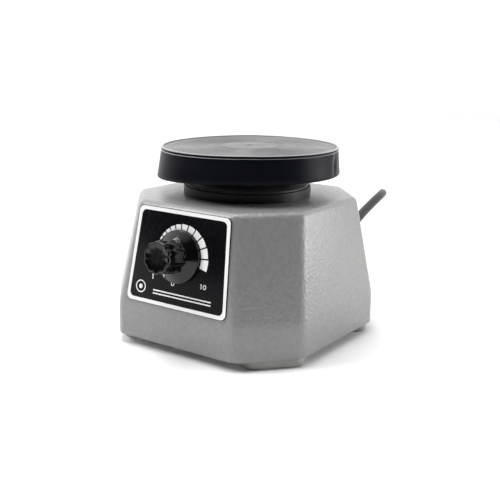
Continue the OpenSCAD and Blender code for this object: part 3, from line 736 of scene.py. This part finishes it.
def round_box(bm, half_x, half_y, corner, levels, matrix, steps=7):
    """A round-cornered block through levels of (height, inset)."""
    rings = []
    for z, inset in levels:
        ring = []
        for sx, sy, start in ((1, 1, 0), (-1, 1, 90), (-1, -1, 180), (1, -1, 270)):
            for i in range(steps + 1):
                a = math.radians(start + 90 * i / steps)
                x = sx * (half_x - corner) + (corner - inset) * math.cos(a)
                y = sy * (half_y - corner) + (corner - inset) * math.sin(a)
                ring.append(bm.verts.new(matrix @ Vector((x, y, z))))
        rings.append(ring)
    skin(bm, rings)


def make_feet():
    """Four rubber pads, each with a cross-head screw sunk into it."""
    top = high("feet").z
    pads = bmesh.new()
    recesses = bmesh.new()
    screws = bmesh.new()
    slots = bmesh.new()
    levels = [(0, 0.0008), (0.0003, 0.0003), (0.0009, 0.0001), (top - 0.0008, 0.0), (top - 0.0003, 0.0002),
              (top, 0.0007)]
    recess = [(0, -0.001), (0.0052, -0.001), (0.005, 0.0006), (0.005, 0.0025), (FOOT_SCREW_HOLE_R, 0.0025),
              (FOOT_SCREW_HOLE_R, 0.006), (0, 0.006)]
    head = [(0.0, 0.0009), (0.0014, 0.0008), (0.0024, 0.0007)]
    head += arc(0.0028, 0.0016, 0.0009, -80, 0, 5)
    head += [(0.0037, 0.0025), (0.002, 0.0025), (0.002, 0.0165), (0.0012, 0.0175), (0, 0.0175)]
    for place in foot_frames():
        centre = place.translation[:2]
        round_box(pads, FOOT_DEPTH / 2, FOOT_WIDTH / 2, FOOT_CORNER, levels, place)
        lathe(recesses, recess, 48, centre)
        lathe(screws, head, 40, centre)
        for length, width in ((CROSS_LENGTH, CROSS_WIDTH), (CROSS_WIDTH, CROSS_LENGTH)):
            box_mesh(slots, (length, width, 0.002), (*centre, 0.0005))
    close(recesses)
    close(screws)
    for name, bm, cutter, look, node, slot, angle in (
        ("rubber_feet", pads, recesses, "foot", "feet", "foot_rubber", 50),
        ("foot_screw_set", screws, slots, "zinc", "foot_screws", "screw_zinc", 35),
    ):
        rough = loose(name + "_rough", bm)
        cut(rough, loose(name + "_cutter", cutter))
        mesh_object(name, taken(rough), LOOKS[look], "base", node, angle)


VENTS = 5
VENT_PITCH = 0.008
VENT_LENGTH = 0.0132
VENT_WIDTH = 0.0032
VENT_ROUND = 0.0015
VENTS_AT = -0.047


def make_base_plate():
    """The pressed steel plate under the case, with its vent slots."""
    box_low, box_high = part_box("base_plate")
    thick = box_high[2] - box_low[2]
    bm = bmesh.new()
    loft(bm, [
        (octagon(FOOT_HALF, CASE_WALL + 0.0004), box_low[2]),
        (octagon(FOOT_HALF, CASE_WALL + 0.0004), box_high[2]),
    ])
    bmesh.ops.recalc_face_normals(bm, faces=bm.faces)
    bevel(bm, 0.0004, 2)
    plate = loose("plate_rough", bm)
    holes = bmesh.new()
    for place in foot_frames():
        drill(holes, FOOT_SCREW_HOLE_R, 4 * thick, Matrix.Translation((0, 0, box_low[2])) @ place)
    for i in range(VENTS):
        along = (i - (VENTS - 1) / 2) * VENT_PITCH
        slot = box_mesh(holes, (VENT_LENGTH, VENT_WIDTH, 4 * thick), (VENTS_AT, along, box_low[2]))
        edges = {
            e for v in slot for e in v.link_edges
            if abs(e.verts[0].co.z - e.verts[1].co.z) > thick
        }
        bmesh.ops.bevel(holes, geom=list(edges), offset=VENT_ROUND, segments=5, profile=0.5, affect="EDGES")
    cut(plate, loose("plate_holes", holes))
    mesh_object("steel_base_plate", taken(plate), LOOKS["sheet"], "base", "base_plate", 30)


# ---- Front panel ----

PANEL_LOW = 0.0665
PANEL_TOP = 0.0605
PANEL_HEIGHT = 0.052
PANEL_THICK = 0.0006
PANEL_UP = (SLOPE / math.cos(FACE_TILT) - PANEL_HEIGHT) / 2 + 0.0006
INK = 0.00006


def panel_outline(inset, corner, steps=8):
    """The panel's round-cornered outline, counted from its lower edge."""
    points = []
    low_half = PANEL_LOW / 2 - inset
    top_half = PANEL_TOP / 2 - inset
    corners = [(top_half, PANEL_HEIGHT - inset, 0), (-top_half, PANEL_HEIGHT - inset, 90),
               (-low_half, inset, 180), (low_half, inset, 270)]
    for x, y, start in corners:
        cx = x - math.copysign(corner, x)
        cy = y - math.copysign(corner, y - PANEL_HEIGHT / 2)
        for i in range(steps + 1):
            a = math.radians(start + 90 * i / steps)
            points.append((cx + corner * math.cos(a), cy + corner * math.sin(a)))
    return points


def slab(bm, outline, z_low, z_high, hole=None):
    """A flat solid between two heights, from one outline, or between two outlines of as many points."""
    outer = [[bm.verts.new((x, y, z)) for x, y in outline] for z in (z_low, z_high)]
    count = len(outline)
    rim = [[bm.verts.new((x, y, z)) for x, y in hole] for z in (z_low, z_high)] if hole else None
    for i in range(count):
        j = (i + 1) % count
        bm.faces.new((outer[0][i], outer[0][j], outer[1][j], outer[1][i]))
        if rim:
            bm.faces.new((rim[0][j], rim[0][i], rim[1][i], rim[1][j]))
            bm.faces.new((outer[1][i], outer[1][j], rim[1][j], rim[1][i]))
            bm.faces.new((outer[0][j], outer[0][i], rim[0][i], rim[0][j]))
    if not rim:
        bm.faces.new(outer[0][::-1])
        bm.faces.new(outer[1])


def sector(start, end, inner, outer, steps=6):
    """An arc-shaped block's outline round the knob's axis."""
    knob = KNOB_UP - PANEL_UP
    points = []
    for i in range(steps + 1):
        a = math.radians(start + (end - start) * i / steps)
        points.append((outer * math.cos(a), knob + outer * math.sin(a)))
    for i in range(steps, -1, -1):
        a = math.radians(start + (end - start) * i / steps)
        points.append((inner * math.cos(a), knob + inner * math.sin(a)))
    return points


def bar(x, y, width, height):
    """A rectangle's outline."""
    return [(x - width / 2, y - height / 2), (x + width / 2, y - height / 2),
            (x + width / 2, y + height / 2), (x - width / 2, y + height / 2)]


def ellipse(x, y, rx, ry, steps=32):
    """An ellipse's outline."""
    turns = [2 * math.pi * i / steps for i in range(steps)]
    return [(x + rx * math.cos(a), y + ry * math.sin(a)) for a in turns]


PANEL_CORNER = 0.003
BORDER_INSET = 0.00025
BORDER_END = 0.0022
SCALE_FROM = -17
SCALE_TO = 210
SCALE_INNER = 0.01415
SCALE_OUTER = 0.0149
SCALE_GROWTH = 0.0041
FIRST_BLOCK = 21
BLOCK_SHRINK = 1.1
LAST_BLOCK = 6
BLOCK_GAP = 2.6
LEAST_ROOM = 3
STROKE = 0.0005
RULE_X = 0.0040
RULES_Y = (0.0079, 0.0062)
RULE_SIZE = (0.0385, 0.0007)
RING_AT = (-0.0240, 0.0084)
RING_STEPS = 40


def ink(bm, outline, hole=None):
    """Prints an outline on the panel."""
    slab(bm, outline, PANEL_THICK - INK, PANEL_THICK + INK, hole)


def print_one(bm, x, y):
    """The digit 1: an upright and its flag."""
    ink(bm, bar(x, y, STROKE, 0.0026))
    ink(bm, bar(x - 0.0004, y + 0.001, 0.0006, 0.0004))


def print_nought(bm, x, y, rx, ry):
    """The digit 0."""
    ink(bm, ellipse(x, y, rx, ry), ellipse(x, y, rx - STROKE, ry - STROKE))


def print_scale(bm):
    """Blocks round the knob, which get smaller and lower towards the slow end."""
    at = SCALE_FROM
    width = FIRST_BLOCK
    while at < SCALE_TO - LEAST_ROOM:
        share = (SCALE_TO - at - width / 2) / (SCALE_TO - SCALE_FROM)
        outer = SCALE_OUTER + SCALE_GROWTH * share
        ink(bm, sector(at + BLOCK_GAP / 2, at + width - BLOCK_GAP / 2, SCALE_INNER, outer))
        at += width
        width = max(LAST_BLOCK, width - BLOCK_SHRINK)


def make_panel():
    """The black plate, and the white print on it."""
    place = on_front(0, PANEL_UP)
    bm = bmesh.new()
    slab(bm, panel_outline(0, PANEL_CORNER), 0, PANEL_THICK)
    bmesh.ops.recalc_face_normals(bm, faces=bm.faces)
    bevel(bm, 0.00012, 2, 60)
    mesh_object("front_panel_plate", bm, LOOKS["panel"], "base", "front_panel", 30, place)

    art = bmesh.new()
    ink(art, panel_outline(BORDER_INSET, PANEL_CORNER), panel_outline(BORDER_END, PANEL_CORNER - 0.0002))
    print_scale(art)
    # The figures stand at the ends of the scale, and the nought at off.
    print_one(art, -0.0163, 0.0149)
    print_nought(art, -0.0026, 0.0134, 0.0011, 0.0014)
    print_one(art, 0.0160, 0.0149)
    print_nought(art, 0.0182, 0.0149, 0.0011, 0.0013)
    # Plain rules and a ring fill the lower edge.
    for y in RULES_Y:
        ink(art, bar(RULE_X, y, *RULE_SIZE))
    ink(art, ellipse(*RING_AT, 0.0034, 0.0034, RING_STEPS), ellipse(*RING_AT, 0.0028, 0.0028, RING_STEPS))
    ink(art, ellipse(*RING_AT, 0.0012, 0.0012, RING_STEPS))
    mesh_object("panel_artwork", art, LOOKS["ink"], "base", None, 30, place)


# ---- Knob ----

KNOB_GAP = 0.001
SKIRT_R = 0.014
GRIP_R = 0.0086
LOBES = 10
POINTER = 240


def knob_top():
    """How far the knob stands out from the face."""
    face = on_front(0, KNOB_UP).inverted()
    return max((face @ v.co).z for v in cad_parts["knob"].data.vertices)


LOBE_DEPTH = 0.0006
LOBE_SHAPE = 1.4
LOBES_FROM = KNOB_GAP + 0.0049
LOBES_FADE = 0.0014
FACE_R = 0.006
BORE_R = 0.003


def lobed(radius, z, a):
    """The knob's radius at an angle: round at the skirt, scalloped along the grip."""
    if z < LOBES_FROM:
        return radius
    wave = math.cos(LOBES * (a - math.radians(POINTER)))
    depth = LOBE_DEPTH * min(1, (z - LOBES_FROM) / LOBES_FADE)
    scallop = ((1 - wave) / 2) ** LOBE_SHAPE
    if radius > FACE_R:
        return radius - depth * scallop
    return radius - depth * 0.6 * scallop * (radius / FACE_R)


def make_knob():
    """The knob: a domed skirt with a pointer, and a long scalloped grip with a sunk face."""
    top = knob_top()
    place = on_front(0, KNOB_UP)
    foot = KNOB_GAP
    skirt = SKIRT_R
    grip = GRIP_R
    profile = [(BORE_R, foot + 0.0008), (0.0075, foot + 0.0008), (0.0075, foot)]
    profile += [(skirt - 0.0004, foot)]
    profile += arc(skirt - 0.0004, foot + 0.0004, 0.0004, -90, 0, 3)
    profile += [(skirt, foot + 0.0013), (skirt - 0.0001, foot + 0.0017)]
    profile += [(skirt - 0.0009, foot + 0.0022), (skirt - 0.0024, foot + 0.0035)]
    profile += [(skirt - 0.0038, foot + 0.0043), (grip + 0.0011, foot + 0.0047)]
    profile += [(grip + 0.0004, foot + 0.0050), (grip + 0.0001, foot + 0.0058), (grip, foot + 0.0075)]
    profile += [(grip, foot + 0.010), (grip, foot + 0.013), (grip, top - 0.0009)]
    profile += [(grip - 0.0001, top - 0.0005), (grip - 0.0004, top - 0.0001), (grip - 0.0008, top)]
    profile += [(grip - 0.0012, top - 0.0001), (grip - 0.0016, top - 0.0003)]
    profile += [(0.005, top - 0.0004), (0.0025, top - 0.0004), (0, top - 0.0004)]
    bm = bmesh.new()
    lathe(bm, profile, 160, turn=lobed)
    lathe(bm, [(BORE_R, foot + 0.0008), (BORE_R, foot + 0.012), (0, foot + 0.012)], 160)
    close(bm)
    mesh_object("knob_body", bm, LOOKS["knob"], "knob", "knob", 42, place)

    mark = bmesh.new()
    matrix = Matrix.Rotation(math.radians(POINTER), 4, "Z")
    points = [(0.0099, -0.0009, foot + 0.0044), (0.0122, -0.00045, foot + 0.0032),
              (skirt - 0.0002, 0, foot + 0.0019), (0.0122, 0.00045, foot + 0.0032),
              (0.0099, 0.0009, foot + 0.0044)]
    upper = [mark.verts.new(matrix @ Vector((x, y, z + 0.0004))) for x, y, z in points]
    lower = [mark.verts.new(matrix @ Vector((x, y, z - 0.0002))) for x, y, z in points]
    mark.faces.new(upper)
    mark.faces.new(lower[::-1])
    for i in range(len(points)):
        j = (i + 1) % len(points)
        mark.faces.new((upper[j], upper[i], lower[i], lower[j]))
    mesh_object("knob_pointer", mark, LOOKS["mark"], "knob", None, 30, place)


# ---- Neck and platform ----

NECK_BORE_R = 0.0185


def make_neck():
    """The collar on the case, and the rubber boot inside it."""
    base_z = low("collar").z
    top = high("collar").z
    outer = high("collar").x
    inner = NECK_BORE_R
    profile = [(inner, base_z), (outer, base_z), (outer, top - 0.0008)]
    profile += arc(outer - 0.0008, top - 0.0008, 0.0008, 0, 90, 5)
    profile += [(outer - 0.0016, top), (inner, top), (inner, base_z)]
    bm = bmesh.new()
    lathe(bm, profile, 128)
    close(bm)
    mesh_object("neck_collar", bm, LOOKS["collar"], "base", "collar", 50)

    start = low("neck_boot").z
    end = high("neck_boot").z
    foot = high("neck_boot").x
    waist = foot - 0.0095
    profile = [(inner, start), (foot, start), (foot, start + 0.0004), (foot - 0.0004, start + 0.0008)]
    profile += [(foot - 0.0035, start + 0.0015), (foot - 0.0065, start + 0.0022)]
    profile += [(waist + 0.001, end - 0.0014)]
    profile += [(waist, end - 0.0008), (waist - 0.0002, end - 0.0002), (waist - 0.001, end)]
    profile += [(inner, end), (inner, start)]
    bm = bmesh.new()
    lathe(bm, profile, 128)
    close(bm)
    mesh_object("rubber_boot", bm, LOOKS["boot"], "base", "neck_boot", 50)


RIM = 0.0012
# The cover sits a little low and wide on the side that is on the left in the camera's view.
SAG_WAY = Vector((math.cos(math.radians(214)), math.sin(math.radians(214))))
SAG_TILT = 0.001
SAG = 0.0022
SAG_FLARE = 0.0013
RINGS_FROM = 0.0165
RINGS_TO = 0.0445
RING_PITCH = 0.0025
RING_LOW = 0.0007
RING_HIGH = 0.00045
COVER_INNER = 0.0477
COVER_TAPER = 0.001
BAND_STEPS = 10
BAND_LIP = 0.011
FOLD_AT = 12
FOLD_DEPTH = 0.0007
FOLD_WIDTH = 2.6
SWELL = 0.00015
SWELL_WIDTH = 4.0
WAVER = 0.0001


def cover_profile(wide, z_low, top):
    """The cover in section: plate, inner wall, band, rim and rings, from the axis round to the axis."""
    narrow = wide - COVER_TAPER
    plate_z = top - 0.003
    profile = [(0, plate_z), (COVER_INNER, plate_z), (COVER_INNER, z_low + 0.0004)]
    profile += [(COVER_INNER + 0.0003, z_low), (wide - 0.0009, z_low)]
    profile += arc(wide - 0.0008, z_low + 0.0008, 0.0008, -80, 0, 5)
    for i in range(1, BAND_STEPS):
        share = i / BAND_STEPS
        z = z_low + 0.0012 + (top - 0.0022 - z_low - 0.0012) * share
        profile.append((wide + (narrow - wide) * share, z))
    profile += [(narrow - 0.0001, top - 0.0019), (narrow - 0.0004, top - 0.0016)]
    profile += [(narrow - 0.0004, top - 0.0012), (narrow, top - 0.0009)]
    profile += arc(narrow - 0.0006, top - 0.0006, 0.0006, 0, 90, 5)
    profile += [(narrow - RIM, top - 0.0001), (narrow - RIM - 0.0004, top - RING_LOW)]
    profile += [(RINGS_TO + 0.001, top - RING_LOW)]
    radius = RINGS_TO
    while radius > RINGS_FROM:
        profile += [(radius, top - RING_LOW), (radius - 0.0003, top - RING_HIGH)]
        profile += [(radius - 0.0010, top - RING_HIGH), (radius - 0.0013, top - RING_LOW)]
        radius -= RING_PITCH
    profile += [(RINGS_FROM + 0.001, top - 0.0013), (RINGS_FROM, top - 0.0013)]
    profile += [(RINGS_FROM - 0.0004, top - 0.0004), (0.0022, top - 0.0004)]
    profile += [(0.0016, top - 0.0011), (0, top - 0.0011)]
    return profile


def make_cover():
    """The rubber cover: a thin rim, fine rings on its top, and a band that flares a little."""
    box_low, box_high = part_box("rubber_cover")
    centre = axis_of("rubber_cover")
    z_low, top = box_low[2], box_high[2]
    wide = (box_high[0] - box_low[0]) / 2
    narrow = wide - COVER_TAPER

    def creased(r, z, a):
        """One soft fold in the band, on the right as the panel is faced, and a slight waver."""
        if r < COVER_INNER + 0.001:
            return r
        fold = math.degrees(a) - FOLD_AT
        fold = (fold + 180) % 360 - 180
        share = max(0, min(1, (z - z_low) / (top - z_low)))
        height = math.sin(math.pi * min(1, share * 1.1))
        dent = FOLD_DEPTH * math.exp(-((fold - 5 * (share - 0.5)) / FOLD_WIDTH) ** 2) * height
        swell = SWELL * math.exp(-((fold + 6) / SWELL_WIDTH) ** 2) * height
        return r - dent + swell - WAVER * (1 + math.sin(3 * a + 1)) * height

    bm = bmesh.new()
    lathe(bm, cover_profile(wide, z_low, top), 256, centre, creased)
    close(bm)
    for vert in bm.verts:
        arm = vert.co.xy - Vector(centre)
        lean = max(0, arm.dot(SAG_WAY)) / wide
        share = (top - vert.co.z) / (top - z_low)
        vert.co.z -= SAG_TILT * lean + SAG * share * lean ** 2
        if arm.length > COVER_INNER:
            vert.co.xy += arm.normalized() * SAG_FLARE * share * lean ** 2
    obj = mesh_object("platform_cover", bm, LOOKS["cover"], "platform", "rubber_cover", 28)
    obj.data.materials.append(LOOKS["band"])
    obj.data.materials.append(LOOKS["rim"])
    # Upward-facing faces on the rim take the light grey rim look, which is a painted highlight. The rest of
    # the outer wall and the lower band take the near-black band rubber.
    for face in obj.data.polygons:
        out = (face.center.xy - Vector(centre)).length
        if out > narrow - RIM - 0.0001 and face.normal.z > 0.35:
            face.material_index = 2
        elif out > narrow - 0.0006 or face.center.z < z_low + BAND_LIP:
            face.material_index = 1


# ---- Gland, plug and tie ----

GLAND_LENGTH = 0.019
GLAND_INSIDE = 0.008
GLAND_RIBS = 6
RIB_PITCH = 0.0023
RIB_DEPTH = 0.0011


def make_gland():
    """The strain relief: a collar on the case and a ribbed taper along the lead."""
    hole = GLAND_HOLE_R
    cord_r = CORD_D / 2
    length = GLAND_LENGTH
    profile = [(cord_r, -GLAND_INSIDE), (hole - 0.0005, -GLAND_INSIDE), (hole, 0.0005 - GLAND_INSIDE)]
    profile += [(hole, 0.0), (hole + 0.0025, 0.0), (hole + 0.0025, 0.0022)]
    profile += arc(hole + 0.0019, 0.0024, 0.0006, 0, 90, 4)
    profile += [(hole + 0.0006, 0.003), (hole, 0.0034)]
    for i in range(GLAND_RIBS):
        z = 0.0042 + i * RIB_PITCH
        radius = hole - (hole - cord_r - 0.0013) * (z - 0.003) / (length - 0.003)
        profile += [(radius, z), (radius, z + 0.0011)]
        profile += [(radius - RIB_DEPTH, z + 0.0014), (radius - RIB_DEPTH, z + 0.002)]
    profile += [(cord_r + 0.0012, length - 0.0010), (cord_r + 0.0010, length - 0.0002)]
    profile += [(cord_r + 0.0006, length), (cord_r, length), (cord_r, -GLAND_INSIDE)]
    bm = bmesh.new()
    lathe(bm, profile, 64)
    close(bm)
    mesh_object("lead_strain_relief", bm, LOOKS["gland"], "base", "strain_relief", 40,
                gland_matrix())


PLUG_AT = Vector((-0.026, 0.084, 0.010))
PLUG_LENGTH = 0.036
BLADE = (0.0165, 0.0018, 0.0058)
BLADES_AT = ((-0.006, 0.004), (0.006, 0.004), (0, -0.005))


def make_plug():
    """A moulded plug with a waisted grip, a flat front and three blades."""
    # Distance along the plug, half its width and half its height, in millimetres.
    sections = [
        (0, 4, 4), (0.6, 4.4, 4.4), (3, 4.4, 4.4), (3.4, 3.8, 3.8), (4.4, 3.8, 3.8), (4.8, 4.8, 4.8),
        (7.2, 4.8, 4.8), (7.6, 4.2, 4.2), (8.6, 4.2, 4.2), (9, 5.4, 5.3), (12, 6.2, 5.6),
        (15, 8.6, 6.2), (18, 10.4, 7), (21.5, 11, 7.6), (25, 11.2, 8.4), (29, 12.2, 9.4),
        (32, 12.7, 9.8), (35, 12.8, 9.8), (35.7, 12.5, 9.5), (36, 11.8, 8.9),
    ]
    bm = bmesh.new()
    rings = []
    steps = 64
    for section in sections:
        along, half_y, half_z = (size * MM for size in section)
        square = 2 + 2.2 * min(1, max(0, (along - 0.009) / 0.012))
        ring = []
        for i in range(steps):
            a = 2 * math.pi * i / steps
            c, s = math.cos(a), math.sin(a)
            y = half_y * math.copysign(abs(c) ** (2 / square), c)
            z = half_z * math.copysign(abs(s) ** (2 / square), s)
            ring.append(bm.verts.new(PLUG_AT + Vector((along, y, z))))
        rings.append(ring)
    skin(bm, rings)
    plug = mesh_object("plug_moulding", bm, LOOKS["plug"], "base", "plug_body", 35)

    pins = bmesh.new()
    for y, z in BLADES_AT:
        blade = bmesh.new()
        box_mesh(blade, BLADE, PLUG_AT + Vector((PLUG_LENGTH + 0.00675, y, z)))
        tip = PLUG_AT.x + PLUG_LENGTH + 0.014
        bevel(blade, 0.0008, 2, edges=[e for e in blade.edges if all(v.co.x > tip for v in e.verts)])
        add(pins, blade)
    blades = mesh_object("plug_blades", pins, LOOKS["brass"], "base", "plug_pins", 35)
    return plug, blades


TIE_WIDTH = 0.008
TIE_THICK = 0.0008
TIE_CORNER = 0.003
TIE_ANGLE = 200


def make_tie():
    """A strap round the bundle of turns."""
    cx, cy = axis_of("cord_coil")
    half_wide = COIL_COLUMNS * CORD_D / 2 + 0.0005
    height = high("cord_coil").z
    corner = TIE_CORNER
    outline = []
    for sx, sz, start in ((1, 1, 0), (-1, 1, 90), (-1, -1, 180), (1, -1, 270)):
        for i in range(7):
            a = math.radians(start + 15 * i)
            outline.append((sx * (half_wide - corner) + corner * math.cos(a),
                            height / 2 + sz * (height / 2 - corner) + corner * math.sin(a)))
    bm = bmesh.new()
    loops = []
    edge = TIE_WIDTH / 2
    for y, grow in ((-edge, 0.0), (-edge, TIE_THICK), (edge, TIE_THICK), (edge, 0.0)):
        loop = []
        for x, z in outline:
            out = Vector((x, 0, z - height / 2)).normalized() * grow
            loop.append(bm.verts.new((x + out.x, y, max(0.0001, z + out.z))))
        loops.append(loop)
    skin(bm, loops + loops[:1], ends=False)
    matrix = (Matrix.Translation((cx, cy, 0)) @ Matrix.Rotation(math.radians(TIE_ANGLE), 4, "Z")
              @ Matrix.Translation((COIL_D / 2, 0, 0)))
    return mesh_object("lead_tie", bm, LOOKS["tie"], "base", "cord_tie", 40, matrix)


make_case()
make_feet()
make_base_plate()
make_panel()
make_knob()
make_neck()
make_cover()
make_gland()
plug, blades = make_plug()
tie = make_tie()


# ---- Floor and light ----

FLOOR_REACH = 4.0
FLOOR_BACK = 1.5


def make_floor():
    """A pale sheet that is square to the camera, and ends where the white behind it takes over."""
    mesh = bpy.data.meshes.new("floor")
    corners = [(-FLOOR_REACH, -FLOOR_REACH), (FLOOR_REACH, -FLOOR_REACH), (FLOOR_REACH, FLOOR_BACK),
               (-FLOOR_REACH, FLOOR_BACK)]
    turn = Matrix.Rotation(math.radians(CAMERA_HEADING), 3, "Z")
    mesh.from_pydata([turn @ Vector((x, y, 0)) for x, y in corners], [], [(0, 1, 2, 3)])
    floor = bpy.data.objects.new("floor", mesh)
    bpy.context.scene.collection.objects.link(floor)
    look = Look("floor_paper", (0.88, 0.88, 0.88), rough=0.9, Specular_IOR_Level=0.1)
    mesh.materials.append(look.material)


LIGHT_AIM = Vector((0, 0, 0.05))
# Name, place, width, height and watts.
LIGHTS = [
    ("right_box", (1.25, 0.95, 0.35), 0.9, 0.7, 13),
    ("left_box", (-1.0, -0.95, 1.25), 0.6, 0.6, 17),
    ("top_box", (-0.15, -0.12, 1.2), 0.9, 0.4, 8),
]


def area_light(name, place, width, height, power):
    """A soft box that points at the case."""
    data = bpy.data.lights.new(name, "AREA")
    data.shape = "RECTANGLE"
    data.size = width
    data.size_y = height
    data.energy = power
    obj = bpy.data.objects.new(name, data)
    bpy.context.scene.collection.objects.link(obj)
    obj.location = place
    obj.rotation_euler = (LIGHT_AIM - Vector(place)).to_track_quat("-Z", "Y").to_euler()


BACK_WAY = math.radians(CAMERA_HEADING)
BACK = Vector((-0.9 * math.sin(BACK_WAY), 0.9 * math.cos(BACK_WAY), 0.9))
WORLD_RANGE = (0.25, 0.85)
WORLD_STRENGTH = (0.03, 1.5)


def make_world():
    """White behind the object, and darker towards the camera."""
    world = bpy.data.worlds.new("studio")
    world.use_nodes = True
    nodes = world.node_tree.nodes
    links = world.node_tree.links
    coords = nodes.new("ShaderNodeTexCoord")
    dot = nodes.new("ShaderNodeVectorMath")
    dot.operation = "DOT_PRODUCT"
    dot.inputs[1].default_value = BACK
    level = nodes.new("ShaderNodeMapRange")
    level.inputs["From Min"].default_value = WORLD_RANGE[0]
    level.inputs["From Max"].default_value = WORLD_RANGE[1]
    level.inputs["To Min"].default_value = WORLD_STRENGTH[0]
    level.inputs["To Max"].default_value = WORLD_STRENGTH[1]
    nodes["Background"].inputs["Color"].default_value = (1, 1, 1, 1)
    links.new(coords.outputs["Generated"], dot.inputs[0])
    links.new(dot.outputs["Value"], level.inputs["Value"])
    links.new(level.outputs["Result"], nodes["Background"].inputs["Strength"])
    bpy.context.scene.world = world


make_floor()
make_world()
for light in LIGHTS:
    area_light(*light)
bpy.context.scene.view_settings.view_transform = "Standard"
